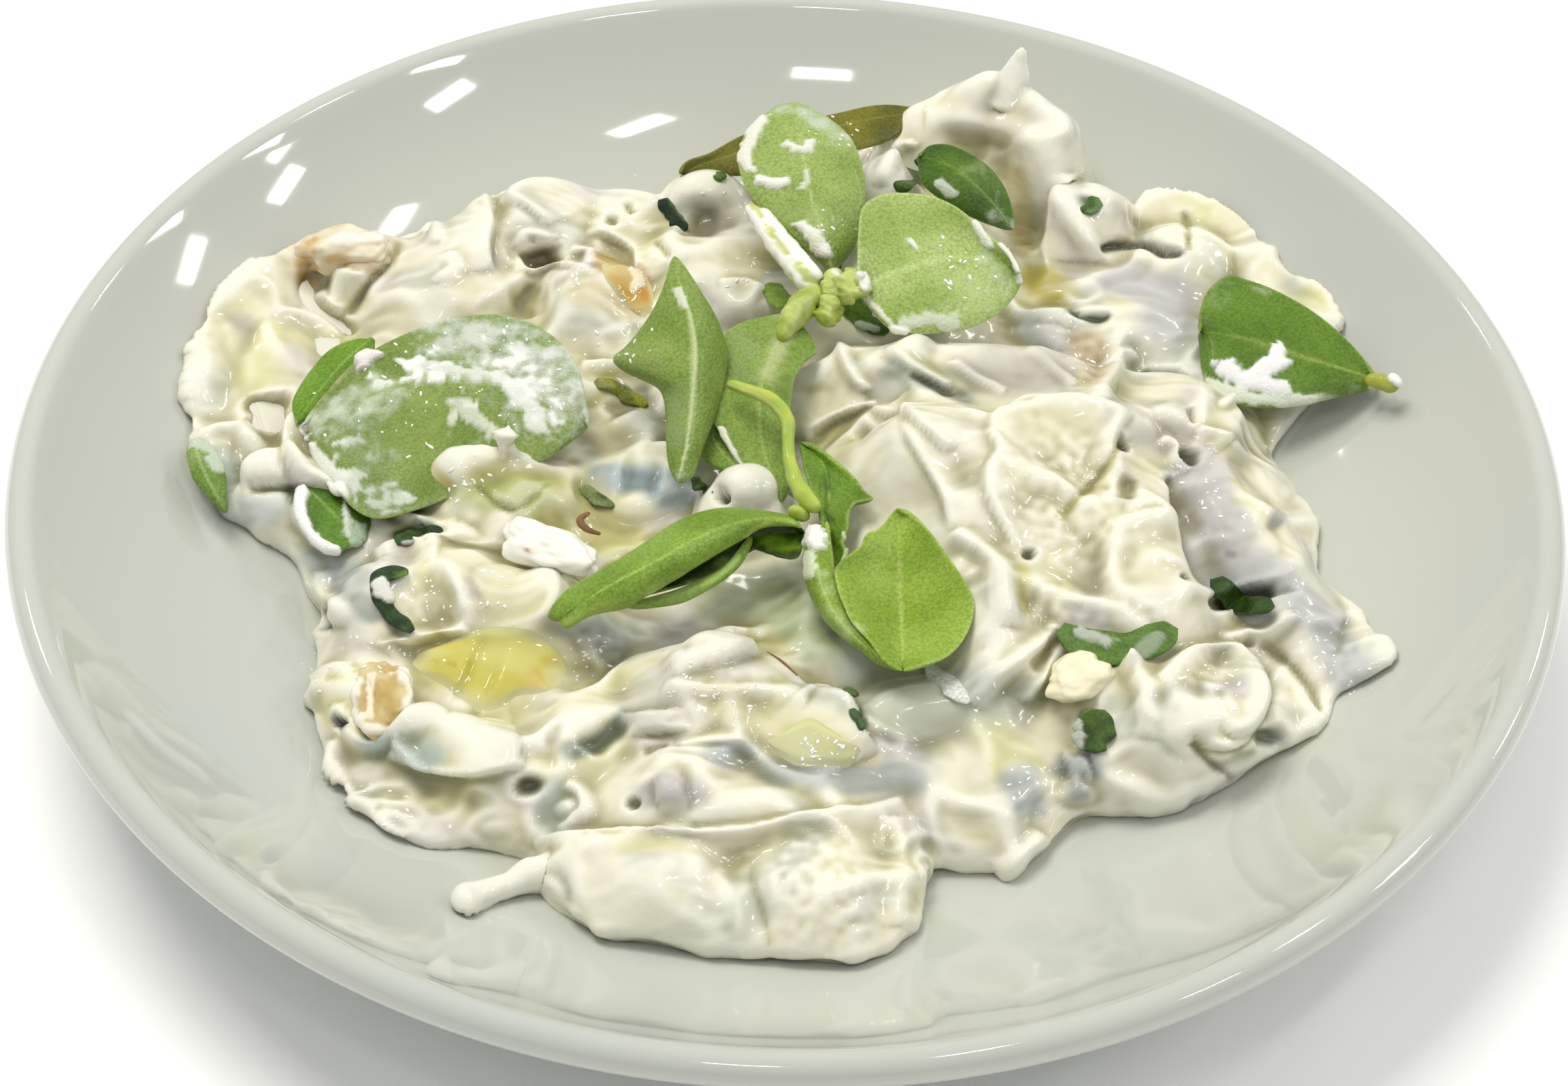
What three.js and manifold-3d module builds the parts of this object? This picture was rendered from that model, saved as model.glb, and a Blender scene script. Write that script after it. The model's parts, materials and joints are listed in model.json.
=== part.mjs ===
// A dish of purslane yogurt: a shallow round porcelain dish, a rough mound of thick
// strained yogurt mixed with purslane, and whole leaves, stems, garlic and oil on top.
// Millimetres, +Z up. The origin is the centre of the circle the foot ring stands on.
// The guest looks along +Y, so -Y is the front of the dish and +X its right.

import * as THREE from 'three';
import { mergeVertices } from 'three/addons/utils/BufferGeometryUtils.js';
import Module from 'manifold-3d';

const wasm = await Module();
wasm.setup();

// ---- Driving dimensions -------------------------------------------------------------

const DISH_RADIUS = 90; // outermost circle of the lip
const DISH_HEIGHT = 24; // top of the lip above the table
const LIP_RADIUS = 2; // the lip is a half round, so the wall is twice this thick
const FLOOR_TOP = 5; // upper face of the flat floor
const FLOOR_RADIUS = 40; // where the floor starts to curve up into the wall
const WALL_POWER = 2.8; // how late the wall steepens
const WALL_LEAN = 48; // degrees between the wall and the table, just below the lip
const FOOT_OUTER = 50;
const FOOT_INNER = 45;
const FOOT_RECESS = 2; // the underside inside the foot ring is this far off the table
const DISH_SIDES = 60;
const WALL_STEPS = 8;

const GAP = 0.3; // air between neighbouring pieces
const LEAF_THICKNESS = 0.9; // purslane is a succulent, so its leaves are thick
const LEAF_END = 0.16; // half width of a leaf's two ends, as a share of its widest
const STEM_SIDES = 7;
const PEBBLE_BUMP = 0.12; // how far garlic, shreds and oil bulge, as a share of their size

const COLOURS = {
  porcelain: 0xe4e6e0,
  yogurt: 0xf3efe2,
  leaf: 0x7d9a45,
  darkLeaf: 0x3f5a26,
  oliveLeaf: 0x77762a,
  stem: 0xb4c467,
  garlic: 0xe6cf9a,
  oil: 0xd9cf7a,
};

// ---- Solids and joins ---------------------------------------------------------------

function merged(geometry) {
  const bare = geometry.clone();
  bare.deleteAttribute('normal');
  bare.deleteAttribute('uv');
  return mergeVertices(bare, 1e-4);
}

function toSolid(geometry) {
  const closed = merged(geometry);
  return new wasm.Manifold(new wasm.Mesh({
    numProp: 3,
    vertProperties: Float32Array.from(closed.attributes.position.array),
    triVerts: Uint32Array.from(closed.index.array),
  }));
}

function toGeometry(solid) {
  const mesh = solid.getMesh();
  const geometry = new THREE.BufferGeometry();
  geometry.setAttribute('position', new THREE.BufferAttribute(mesh.vertProperties, 3));
  geometry.setIndex(new THREE.BufferAttribute(mesh.triVerts, 1));
  return geometry;
}

// The biggest body of a solid, so that a scrap cut loose is dropped.
function biggestBody(solid) {
  const bodies = solid.decompose();
  return bodies.reduce((best, body) => (body.volume() > best.volume() ? body : best));
}

// ---- The dish -----------------------------------------------------------------------

const lean = THREE.MathUtils.degToRad(WALL_LEAN);
const lipCentre = new THREE.Vector2(DISH_RADIUS - LIP_RADIUS, DISH_HEIGHT - LIP_RADIUS);
const wallTop = new THREE.Vector2(
  lipCentre.x - LIP_RADIUS * Math.sin(lean),
  lipCentre.y + LIP_RADIUS * Math.cos(lean),
);

// Height of the inner face at a radius: flat, then curving up ever more steeply.
function innerHeight(radius) {
  const share = Math.max(0, radius - FLOOR_RADIUS) / (wallTop.x - FLOOR_RADIUS);
  return FLOOR_TOP + (wallTop.y - FLOOR_TOP) * share ** WALL_POWER;
}

function innerWall(steps) {
  const points = [];
  for (let i = 0; i <= steps; i += 1) {
    const radius = THREE.MathUtils.lerp(FLOOR_RADIUS, wallTop.x, (i / steps) ** 0.7);
    points.push(new THREE.Vector2(radius, innerHeight(radius)));
  }
  return points;
}

// The wall's outer face, one wall thickness square to the inner one.
function outerWall(steps) {
  const points = [];
  for (let i = 1; i <= steps; i += 1) {
    const radius = THREE.MathUtils.lerp(FOOT_OUTER + 6, wallTop.x, i / steps);
    const slope = (innerHeight(radius + 0.1) - innerHeight(radius - 0.1)) / 0.2;
    const away = new THREE.Vector2(slope, -1).setLength(2 * LIP_RADIUS);
    points.push(new THREE.Vector2(radius, innerHeight(radius)).add(away));
  }
  return points;
}

function lipArc(steps) {
  const points = [];
  for (let i = 1; i < steps; i += 1) {
    const angle = lean - Math.PI / 2 + (Math.PI * i) / steps;
    points.push(new THREE.Vector2(
      lipCentre.x + LIP_RADIUS * Math.cos(angle),
      lipCentre.y + LIP_RADIUS * Math.sin(angle),
    ));
  }
  return points;
}

function lathe(profile) {
  const geometry = new THREE.LatheGeometry(profile, DISH_SIDES);
  return geometry.rotateX(Math.PI / 2);
}

function dish() {
  const profile = [
    new THREE.Vector2(0, FOOT_RECESS),
    new THREE.Vector2(FOOT_INNER - 1, FOOT_RECESS),
    new THREE.Vector2(FOOT_INNER, 0),
    new THREE.Vector2(FOOT_OUTER, 0),
    new THREE.Vector2(FOOT_OUTER + 1, innerHeight(FOOT_OUTER) - 2 * LIP_RADIUS),
    ...outerWall(6),
    ...lipArc(5),
    ...innerWall(WALL_STEPS).reverse(),
    new THREE.Vector2(0, FLOOR_TOP),
  ];
  return merged(lathe(profile));
}

// All the space that the dish holds, and above it, one gap clear of the porcelain.
function hollow() {
  const ceiling = 3 * DISH_HEIGHT;
  const lift = new THREE.Vector2(0, 1.2 * GAP);
  const profile = [
    new THREE.Vector2(0, FLOOR_TOP).add(lift),
    ...innerWall(WALL_STEPS).map((point) => point.add(lift)),
    new THREE.Vector2(wallTop.x, ceiling),
    new THREE.Vector2(0, ceiling),
  ];
  return toSolid(lathe(profile));
}

// ---- Leaves -------------------------------------------------------------------------

// A thin sheet with both faces split into triangles alike, from a grid of its middle
// surface: the two faces lie half a thickness to either side of the grid.
function sheet(grid, thickness) {
  const rows = grid.length;
  const columns = grid[0].length;
  const faces = [[], []];
  for (let i = 0; i < rows; i += 1) {
    for (let j = 0; j < columns; j += 1) {
      const along = grid[Math.min(i + 1, rows - 1)][j].clone()
        .sub(grid[Math.max(i - 1, 0)][j]);
      const across = grid[i][Math.min(j + 1, columns - 1)].clone()
        .sub(grid[i][Math.max(j - 1, 0)]);
      const normal = across.cross(along).setLength(thickness / 2);
      faces[0].push(grid[i][j].clone().sub(normal));
      faces[1].push(grid[i][j].clone().add(normal));
    }
  }
  const count = rows * columns;
  const index = [];
  for (let i = 0; i + 1 < rows; i += 1) {
    for (let j = 0; j + 1 < columns; j += 1) {
      const a = i * columns + j;
      const b = a + columns;
      index.push(a, b, a + 1, a + 1, b, b + 1);
      index.push(a + count, a + 1 + count, b + count);
      index.push(a + 1 + count, b + 1 + count, b + count);
    }
  }
  const border = [];
  for (let j = 0; j + 1 < columns; j += 1) border.push(j);
  for (let i = 0; i + 1 < rows; i += 1) border.push(i * columns + columns - 1);
  for (let j = columns - 1; j > 0; j -= 1) border.push((rows - 1) * columns + j);
  for (let i = rows - 1; i > 0; i -= 1) border.push(i * columns);
  border.forEach((a, k) => {
    const b = border[(k + 1) % border.length];
    index.push(a, b, a + count, b, b + count, a + count);
  });
  const geometry = new THREE.BufferGeometry().setFromPoints([...faces[0], ...faces[1]]);
  geometry.setIndex(index);
  return geometry;
}

// A purslane leaf is spoon shaped: a midrib runs through `spine` from base to tip, the
// upper face looks along `facing`, and each half rises by `fold` degrees at the midrib
// and turns by `curl` degrees more on its way to the edge (left half first).
function leafGrid({
  spine, facing, halfWidth, fold = [8, 8], curl = [10, 10], bias = 1.25, blunt = 0.6,
  rows = 8, halfColumns = 2,
}, grow) {
  const curve = new THREE.CatmullRomCurve3(spine.map((point) => new THREE.Vector3(...point)));
  const up = new THREE.Vector3(...facing).normalize();
  const grid = [];
  for (let i = 0; i <= rows; i += 1) {
    const share = 0.5 - 0.5 * Math.cos((Math.PI * i) / rows);
    const centre = curve.getPointAt(share);
    const along = curve.getTangentAt(share);
    const normal = up.clone().addScaledVector(along, -up.dot(along)).normalize();
    const right = along.clone().cross(normal);
    if (i === 0) centre.addScaledVector(along, -grow);
    if (i === rows) centre.addScaledVector(along, grow);
    const outline = Math.max(LEAF_END, Math.sin(Math.PI * share ** bias) ** blunt);
    const width = halfWidth * outline + grow;
    const row = [];
    for (let j = -halfColumns; j <= halfColumns; j += 1) {
      const side = j < 0 ? 0 : 1;
      const start = THREE.MathUtils.degToRad(fold[side]);
      const turn = THREE.MathUtils.degToRad(curl[side]) || 1e-3;
      const reach = Math.abs(j) / halfColumns;
      const end = start + turn * reach;
      const out = (width * (Math.sin(end) - Math.sin(start))) / turn;
      const lift = (width * (Math.cos(start) - Math.cos(end))) / turn;
      row.push(centre.clone()
        .addScaledVector(right, Math.sign(j) * out)
        .addScaledVector(normal, lift));
    }
    grid.push(row);
  }
  return grid;
}

function leaf(shape, grow = 0) {
  return sheet(leafGrid(shape, grow), LEAF_THICKNESS + 2 * grow);
}

const LEAVES = {
  leaf_top: {
    spine: [[6, 35, 21], [3, 45, 26], [-0.5, 57, 29]],
    facing: [0.05, -0.5, 0.85],
    halfWidth: 8,
    colour: 'leaf',
  },
  leaf_top_right: {
    spine: [[7.5, 30.5, 22.5], [17.5, 33.5, 24.5], [28, 37.5, 24.5]],
    facing: [0, -0.45, 0.9],
    halfWidth: 10,
    fold: [5, 5],
    blunt: 0.5,
    colour: 'leaf',
  },
  leaf_back: {
    spine: [[-15, 55, 19], [0, 62, 22], [15, 67, 21]],
    facing: [0.2, -0.6, 0.75],
    halfWidth: 5,
    colour: 'oliveLeaf',
  },
  leaf_behind_curl: {
    spine: [[19, 53, 26], [23, 49, 24], [27.5, 44, 20]],
    facing: [-0.1, -0.5, 0.85],
    halfWidth: 5,
    colour: 'darkLeaf',
  },
  leaf_upright: {
    spine: [[-12.5, 0, 18], [-9, 9, 25], [-14, 27, 29]],
    facing: [-0.55, -0.25, 0.8],
    halfWidth: 7,
    fold: [-35, 30],
    curl: [0, 20],
    colour: 'leaf',
  },
  leaf_centre: {
    spine: [[1.5, 26, 22], [-1, 14, 20], [-3, 3, 16]],
    facing: [-0.1, 0.3, 1],
    halfWidth: 6.5,
    colour: 'leaf',
  },
  leaf_torn: {
    spine: [[1.5, 6, 20], [5, -2, 20], [5.5, -9, 18]],
    facing: [0.3, -0.1, 0.9],
    halfWidth: 4,
    fold: [35, -10],
    colour: 'darkLeaf',
  },
  leaf_rolled: {
    spine: [[1.5, -8, 21], [-10, -11, 22], [-26, -22, 17]],
    facing: [0.3, -0.8, -0.1],
    halfWidth: 7,
    fold: [20, 20],
    curl: [100, 70],
    bias: 0.8,
    colour: 'leaf',
  },
  leaf_cupped: {
    spine: [[9, -8, 20.5], [12.5, -18, 18.5], [14, -29, 19.5]],
    facing: [0, -0.25, 1],
    halfWidth: 9,
    fold: [0, 0],
    curl: [25, 80],
    blunt: 0.45,
    bias: 1,
    colour: 'leaf',
  },
  leaf_left_big: {
    spine: [[-24, 13, 18], [-39, 15, 18], [-57, 11, 15]],
    facing: [0, -0.3, 1],
    halfWidth: 12,
    bias: 0.85,
    blunt: 0.5,
    colour: 'leaf',
  },
  leaf_left_behind: {
    spine: [[-50, 26, 14], [-56, 20, 14], [-60, 12, 13]],
    facing: [-0.3, -0.2, 0.9],
    halfWidth: 4,
    colour: 'leaf',
  },
  leaf_left_far: {
    spine: [[-71, 7, 15.5], [-69.5, 1.5, 14], [-66, -3.5, 12]],
    facing: [-0.5, -0.6, 0.7],
    halfWidth: 2.2,
    colour: 'leaf',
  },
  leaf_left_low: {
    spine: [[-58, 2, 12.5], [-53.5, -3, 12.5], [-48, -7, 11.5]],
    facing: [-0.1, -0.4, 0.9],
    halfWidth: 4.5,
    colour: 'darkLeaf',
  },
  leaf_right: {
    spine: [[72, 24, 16], [65.5, 28, 16.5], [55, 37, 15]],
    facing: [0.15, -0.35, 0.9],
    halfWidth: 9,
    bias: 0.95,
    colour: 'leaf',
  },
};

// ---- Stems, garlic and oil ----------------------------------------------------------

function stem({ path, radius }, grow = 0) {
  const curve = new THREE.CatmullRomCurve3(path.map((point) => new THREE.Vector3(...point)));
  const ring = [];
  for (let i = 0; i < STEM_SIDES; i += 1) {
    const angle = (2 * Math.PI * i) / STEM_SIDES;
    ring.push(new THREE.Vector2(Math.cos(angle), Math.sin(angle)).multiplyScalar(radius + grow));
  }
  return new THREE.ExtrudeGeometry(new THREE.Shape(ring), {
    extrudePath: curve,
    steps: 2 * path.length,
    bevelEnabled: false,
  });
}

const STEMS = {
  stem_coated: { path: [[-5, 45, 23.5], [-1, 38, 24], [3.5, 31, 24.5]], radius: 1.3 },
  stem_joint: { path: [[7, 31, 26.5], [4, 27, 26], [0, 22, 24.5]], radius: 2 },
  stem_curved: {
    path: [[-9, 14, 22], [-4, 11.5, 23.5], [-0.5, 8, 23], [1, 3, 22], [3, -3, 22]],
    radius: 0.8,
  },
  stem_right: { path: [[71.5, 23.5, 17], [72.8, 21, 18], [74, 18.5, 19.5]], radius: 1.4 },
};

// An uneven pebble: a ball with low bumps, stretched to its three half sizes.
function pebble({ centre, size, turn = 0 }, grow = 0) {
  const geometry = merged(new THREE.IcosahedronGeometry(1, 1));
  const position = geometry.attributes.position;
  const point = new THREE.Vector3();
  for (let i = 0; i < position.count; i += 1) {
    point.fromBufferAttribute(position, i);
    const bump = Math.sin(3 * point.x + centre[0]) * Math.cos(2.5 * point.y + centre[1]);
    point.multiplyScalar(1 + PEBBLE_BUMP * bump);
    point.multiply(new THREE.Vector3(...size).addScalar(grow));
    position.setXYZ(i, point.x, point.y, point.z);
  }
  geometry.rotateZ(THREE.MathUtils.degToRad(turn));
  return geometry.translate(...centre);
}

const PEBBLES = {
  garlic_front: { centre: [-45.5, -30.5, 13], size: [3, 4.5, 2.5], turn: 20, colour: 'garlic' },
  garlic_back: { centre: [-55, 40.5, 16.5], size: [5.5, 3.5, 2.5], turn: 15, colour: 'garlic' },
  garlic_white: { centre: [-27, -11, 17], size: [6, 3, 2.5], turn: -25, colour: 'yogurt' },
  garlic_right: { centre: [34.5, -26.5, 15.5], size: [4.5, 2.8, 2.2], turn: 25, colour: 'yogurt' },
  shred_back: { centre: [-15.5, 46, 18.5], size: [1.5, 2.6, 0.8], turn: 20, colour: 'darkLeaf' },
  shred_left: { centre: [-43, -15.5, 15], size: [3, 3, 1], turn: 10, colour: 'darkLeaf' },
  shred_right: { centre: [41, -21.5, 17], size: [4.5, 1.8, 1], turn: 10, colour: 'darkLeaf' },
  shred_front: { centre: [35, -33.5, 13.5], size: [1.6, 3, 1.2], turn: -10, colour: 'darkLeaf' },
  shred_side: { centre: [54.5, -15.5, 15], size: [3.5, 1.5, 1], turn: -10, colour: 'darkLeaf' },
  oil_front: { centre: [-34, -26, 12.8], size: [6.5, 6, 1], colour: 'oil' },
  oil_centre: { centre: [4.5, -36, 15.6], size: [4.6, 3.4, 0.8], colour: 'oil' },
  oil_back: { centre: [-22, 34, 17], size: [3.5, 4, 0.8], colour: 'oil' },
};

// ---- Yogurt -------------------------------------------------------------------------

// Foot of the mound on the dish, [x, y], clockwise from the right as seen from above.
const FOOT_LINE = [
  [63.5, 5], [63.5, -3], [66, -8], [69, -15], [70.5, -21], [63.5, -23.5], [62, -28],
  [53, -35], [46, -39], [38, -40], [34, -41], [28, -47.5], [17, -48], [16, -56],
  [9, -64], [-1, -63], [-15, -62], [-23, -57], [-27, -49], [-35, -48], [-43, -48],
  [-50, -39], [-53.5, -30], [-53.5, -18], [-58.5, -4], [-67, 1], [-72, 9], [-74, 22],
  [-71, 34], [-62, 46], [-51, 50], [-42, 57], [-34, 61], [-24, 59], [-14, 62], [0, 68],
  [17, 74], [28, 74], [36, 68], [42, 60], [50, 60], [58, 54], [62, 46], [68, 40],
  [68, 31], [64, 24], [60, 18], [62.5, 12],
];

// Each lobe of the surface is [x, y, height of its crown, half sizes along x and y,
// how far it falls to its rim, turn in degrees].
const LOBES = {
  bed_left: [-36, 12, 13, 40, 42, 6, 0],
  bed_right: [28, 0, 16, 40, 46, 8, 0],
  bed_front: [-8, -34, 12, 44, 30, 6, 0],
  bed_back: [4, 46, 16, 50, 28, 8, 0],
  left_shoulder: [-65.5, 26.5, 14.5, 7, 14, 5, -16],
  amber_lobe: [-53.5, 41.5, 17, 9, 8, 6, 0],
  back_left_outer: [-42, 40, 19, 9, 15, 6, -18],
  back_left_top: [-32.5, 49, 19.5, 9, 9, 6, 0],
  back_middle: [-21.5, 50, 18, 9, 9, 6, 0],
  back_peak: [-11.5, 52.5, 20, 6, 6, 6, 0],
  back_smooth: [-11, 40.5, 18.5, 11, 10, 6, 0],
  oil_slope: [-24.5, 35.5, 17, 9, 9, 5, 0],
  leaf_bed_left: [-40.5, 16.5, 16, 20, 14, 5, 8],
  left_edge: [-67, 10, 12, 7, 7, 5, 0],
  left_curl: [-59, 4, 14, 9, 5, 6, 20],
  left_low: [-60.5, -2.5, 9.5, 7, 7, 5, 0],
  left_ridge: [-35.5, 2.5, 19, 11, 4, 7, 8],
  olive_mound: [-32.5, -1, 17, 10, 7, 6, 0],
  blue_pool: [-17, 4.5, 15.5, 9, 8, 5, 0],
  centre_curl: [-5, -0.5, 17.5, 5, 5, 5, 0],
  cream_left: [-31.5, -16, 17, 14, 7, 6, -18],
  left_lobe: [-44.5, -16, 15, 8, 8, 6, 0],
  left_side: [-52.5, -14.5, 10.5, 7, 13, 5, 12],
  front_left_middle: [-47, -30, 13, 8, 10, 5, 0],
  front_left_low: [-43.5, -40, 9.5, 10, 10, 5, 0],
  front_left_toe: [-33.5, -46.5, 9, 9, 6, 4, -10],
  front_left_ridge: [-33, -38.5, 14.5, 14, 5, 6, -18],
  oil_bed: [-33, -26, 13, 12, 8, 5, 0],
  front_grey: [-20, -35.5, 14.5, 10, 9, 5, 0],
  front_cream: [-8, -32, 18.5, 11, 10, 6, 0],
  front_cream_right: [3, -36.5, 15.5, 11, 7, 5, 0],
  front_middle: [-10, -45, 16.5, 12, 8, 6, 0],
  front_flat: [3, -45, 14, 13, 7, 5, 0],
  front_lobe_left: [-13, -57, 14.5, 14, 11, 6, 0],
  front_lobe_right: [5, -57, 14.5, 11, 12, 6, 0],
  right_toe: [22.5, -43, 9.5, 11, 8, 4, 0],
  right_low: [22, -38.5, 12.5, 12, 8, 5, 0],
  right_dollop: [46.5, -31, 17, 14, 12, 8, 0],
  right_skirt: [43.5, -38, 10.5, 11, 7, 5, 0],
  right_finger: [62, -20, 12, 10, 7, 6, -32],
  right_bulge: [60, -11.5, 13.5, 8, 10, 6, 0],
  right_long: [53, -2.5, 18.5, 7, 18, 7, 26],
  right_edge: [58, 8, 13, 7, 10, 6, 0],
  right_upper: [46, 15, 19.5, 9, 9, 6, 0],
  right_leaf_bed: [60, 30, 12, 16, 12, 5, 0],
  right_peak_bed: [62, 41, 13, 7, 5, 5, 0],
  dome: [50, 48.5, 17.5, 10, 9, 7, 0],
  dome_inner: [42.5, 39.5, 16, 11, 10, 5, 0],
  right_valley: [36.5, 35, 15.5, 11, 10, 5, 0],
  high_mass: [26, -2.5, 23, 18, 19, 8, 0],
  high_top: [19, 2.5, 24.5, 10, 7, 5, 0],
  high_top_right: [33.5, 5.5, 23.5, 11, 9, 5, 0],
  high_right: [41, -8, 21, 9, 16, 7, 10],
  top_smear: [21.5, 19.5, 22.5, 18, 6, 5, 0],
  top_valley: [27, 12, 21.5, 16, 8, 4, 0],
  crater_rim: [24.5, -19, 19, 6, 15, 6, -8],
  right_chunk: [36.5, -18, 18, 9, 7, 6, 0],
  right_chunk_low: [38.5, -26.5, 15.5, 9, 6, 5, 0],
  crater_lip: [16, -30.5, 15.5, 11, 5, 6, 10],
  leaf_bed_top: [11.5, 41.5, 20, 16, 15, 6, 0],
  curl_root: [17, 66, 23, 7, 7, 8, 0],
  cream_peak: [11.5, 51.5, 25, 5, 7, 7, 0],
  curl_top: [25, 68, 26, 8, 6, 9, 10],
  curl_shoulder: [33, 62, 25, 6, 8, 9, -20],
  curl_side: [38, 52, 21, 6, 10, 8, -8],
};

const LOBE_POWER = 2.2; // lobes are flatter on top and steeper at the rim than a bowl
const BLEND = 1.4; // how softly neighbouring lobes run together
const EDGE_SHARE = 0.1; // outer share of the mound that rounds over to its foot
const RING_POWER = 0.72; // rings lie closer together towards the edge than the centre

// Height of the yogurt's surface: the lobes, run softly into one another.
function surfaceHeight(x, y) {
  let sum = 0;
  Object.values(LOBES).forEach(([cx, cy, crown, rx, ry, fall, turn]) => {
    const angle = THREE.MathUtils.degToRad(turn);
    const dx = x - cx;
    const dy = y - cy;
    const along = (dx * Math.cos(angle) + dy * Math.sin(angle)) / rx;
    const across = (dy * Math.cos(angle) - dx * Math.sin(angle)) / ry;
    sum += Math.exp((crown - fall * Math.hypot(along, across) ** LOBE_POWER) / BLEND);
  });
  return BLEND * Math.log(sum);
}

// A ball is spread over the foot line: its upper part becomes the lobed surface, its
// last rings round over at the edge, and its lower part is cut off by the dish.
function mound() {
  const outline = new THREE.CatmullRomCurve3(
    FOOT_LINE.map(([x, y]) => new THREE.Vector3(x, y, 0)), true,
  );
  const around = 96;
  const rings = 20;
  const topRings = 18;
  const ball = new THREE.SphereGeometry(1, around, rings);
  const position = ball.attributes.position;
  for (let i = 0; i < position.count; i += 1) {
    const ring = Math.floor(i / (around + 1));
    const foot = outline.getPointAt((1 - (i % (around + 1)) / around) % 1);
    const onTop = ring <= topRings;
    const share = onTop
      ? (ring / topRings) ** RING_POWER
      : (0.97 * (rings - ring)) / (rings - topRings);
    const x = foot.x * share;
    const y = foot.y * share;
    const floor = innerHeight(Math.hypot(x, y));
    const edge = Math.max(0, (share - 1 + EDGE_SHARE) / EDGE_SHARE);
    const rise = Math.max(3, surfaceHeight(x, y) - floor) * Math.sqrt(1 - 0.96 * edge ** 2);
    position.setXYZ(i, x, y, onTop ? floor + rise : floor - 1);
  }
  return toSolid(ball);
}

// Peaks that the spoon pulled up, and a drip on the dish: cones from [x, y, z of the
// foot] to a [tip], with the radius at each end.
const PEAKS = {
  curl_tip: { foot: [27.5, 65, 22], tip: [30, 69, 31], radii: [3.5, 0.4] },
  right_peak: { foot: [63, 38, 10], tip: [65, 39.5, 16], radii: [2.4, 0.4] },
  ridge_peak: { foot: [-33, 2, 16], tip: [-33, 5, 22], radii: [2, 0.4] },
  drip: { foot: [-24, -51, 7.5], tip: [-34, -56, 7], radii: [1.5, 2.2] },
};

function peak({ foot, tip, radii }) {
  const axis = new THREE.Vector3(...tip).sub(new THREE.Vector3(...foot));
  const cone = new THREE.CylinderGeometry(radii[1], radii[0], axis.length(), 8);
  cone.translate(0, axis.length() / 2, 0);
  const turn = new THREE.Quaternion()
    .setFromUnitVectors(new THREE.Vector3(0, 1, 0), axis.clone().normalize());
  return toSolid(cone.applyQuaternion(turn).translate(...foot));
}

// ---- Building the scene -------------------------------------------------------------

const group = new THREE.Group();

function add(name, geometry, colour, roughness) {
  const material = new THREE.MeshStandardMaterial({
    color: COLOURS[colour], roughness, metalness: 0,
  });
  const mesh = new THREE.Mesh(geometry, material);
  mesh.name = name;
  group.add(mesh);
}

add('dish', dish(), 'porcelain', 0.15);

const garnish = [];
Object.entries(LEAVES).forEach(([name, shape]) => {
  garnish.push([name, leaf(shape), leaf(shape, GAP), shape.colour]);
});
Object.entries(STEMS).forEach(([name, shape]) => {
  garnish.push([name, stem(shape), stem(shape, GAP), 'stem']);
});
Object.entries(PEBBLES).forEach(([name, shape]) => {
  garnish.push([name, pebble(shape), pebble(shape, GAP), shape.colour]);
});

let yogurt = Object.values(PEAKS).map(peak)
  .reduce((whole, piece) => whole.add(piece), mound()).intersect(hollow());

// Each garnish keeps its own room: what comes later in the list gives way.
let taken = null;
garnish.forEach(([name, geometry, room, colour]) => {
  let solid = toSolid(geometry);
  if (taken) solid = biggestBody(solid.subtract(taken));
  const claimed = toSolid(room);
  taken = taken ? taken.add(claimed) : claimed;
  yogurt = yogurt.subtract(claimed);
  add(name, toGeometry(solid), colour, 0.4);
});
add('yogurt', toGeometry(biggestBody(yogurt)), 'yogurt', 0.45);

export default group;
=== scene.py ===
# %% [markdown]
# # A dish of purslane yogurt
# A shallow porcelain dish holds thick strained yogurt that a spoon has turned over with
# chopped purslane. Whole leaves, stems, garlic and olive oil lie on top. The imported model
# is loaded first, as a fixed frame: every piece below sits on it or stands for one of its
# solids, in metres.

# %% Load the frame
import json
import math
import random

import bmesh
import bpy
import numpy as np
from mathutils import Matrix, Vector, noise
from mathutils.bvhtree import BVHTree

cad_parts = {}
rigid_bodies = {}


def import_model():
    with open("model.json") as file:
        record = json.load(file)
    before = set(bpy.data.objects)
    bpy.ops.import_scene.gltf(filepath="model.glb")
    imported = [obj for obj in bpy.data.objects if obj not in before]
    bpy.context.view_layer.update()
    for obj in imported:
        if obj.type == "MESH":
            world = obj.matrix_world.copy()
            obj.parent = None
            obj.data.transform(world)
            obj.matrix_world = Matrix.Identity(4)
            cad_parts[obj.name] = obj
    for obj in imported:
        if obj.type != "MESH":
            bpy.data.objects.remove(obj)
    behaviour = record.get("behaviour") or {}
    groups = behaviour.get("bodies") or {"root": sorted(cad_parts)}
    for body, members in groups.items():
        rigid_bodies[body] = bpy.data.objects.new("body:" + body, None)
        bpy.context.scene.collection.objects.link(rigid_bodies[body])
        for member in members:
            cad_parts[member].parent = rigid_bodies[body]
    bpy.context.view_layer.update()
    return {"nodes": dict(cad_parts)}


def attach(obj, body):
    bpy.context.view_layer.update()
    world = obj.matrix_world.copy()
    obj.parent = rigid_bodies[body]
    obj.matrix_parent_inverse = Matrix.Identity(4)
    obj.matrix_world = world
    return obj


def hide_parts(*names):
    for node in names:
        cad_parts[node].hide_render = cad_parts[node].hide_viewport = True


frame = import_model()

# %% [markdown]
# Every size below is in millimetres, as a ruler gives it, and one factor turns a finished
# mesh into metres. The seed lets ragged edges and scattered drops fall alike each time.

MM = 0.001
random.seed(12)
print("solids in the frame:", len(frame["nodes"]))

# %% [markdown]
# The camera looks down at 45 degrees over the near rim, as someone does who is about to
# eat. Its place and lens follow from the ellipse that the round rim makes in the picture.

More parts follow.
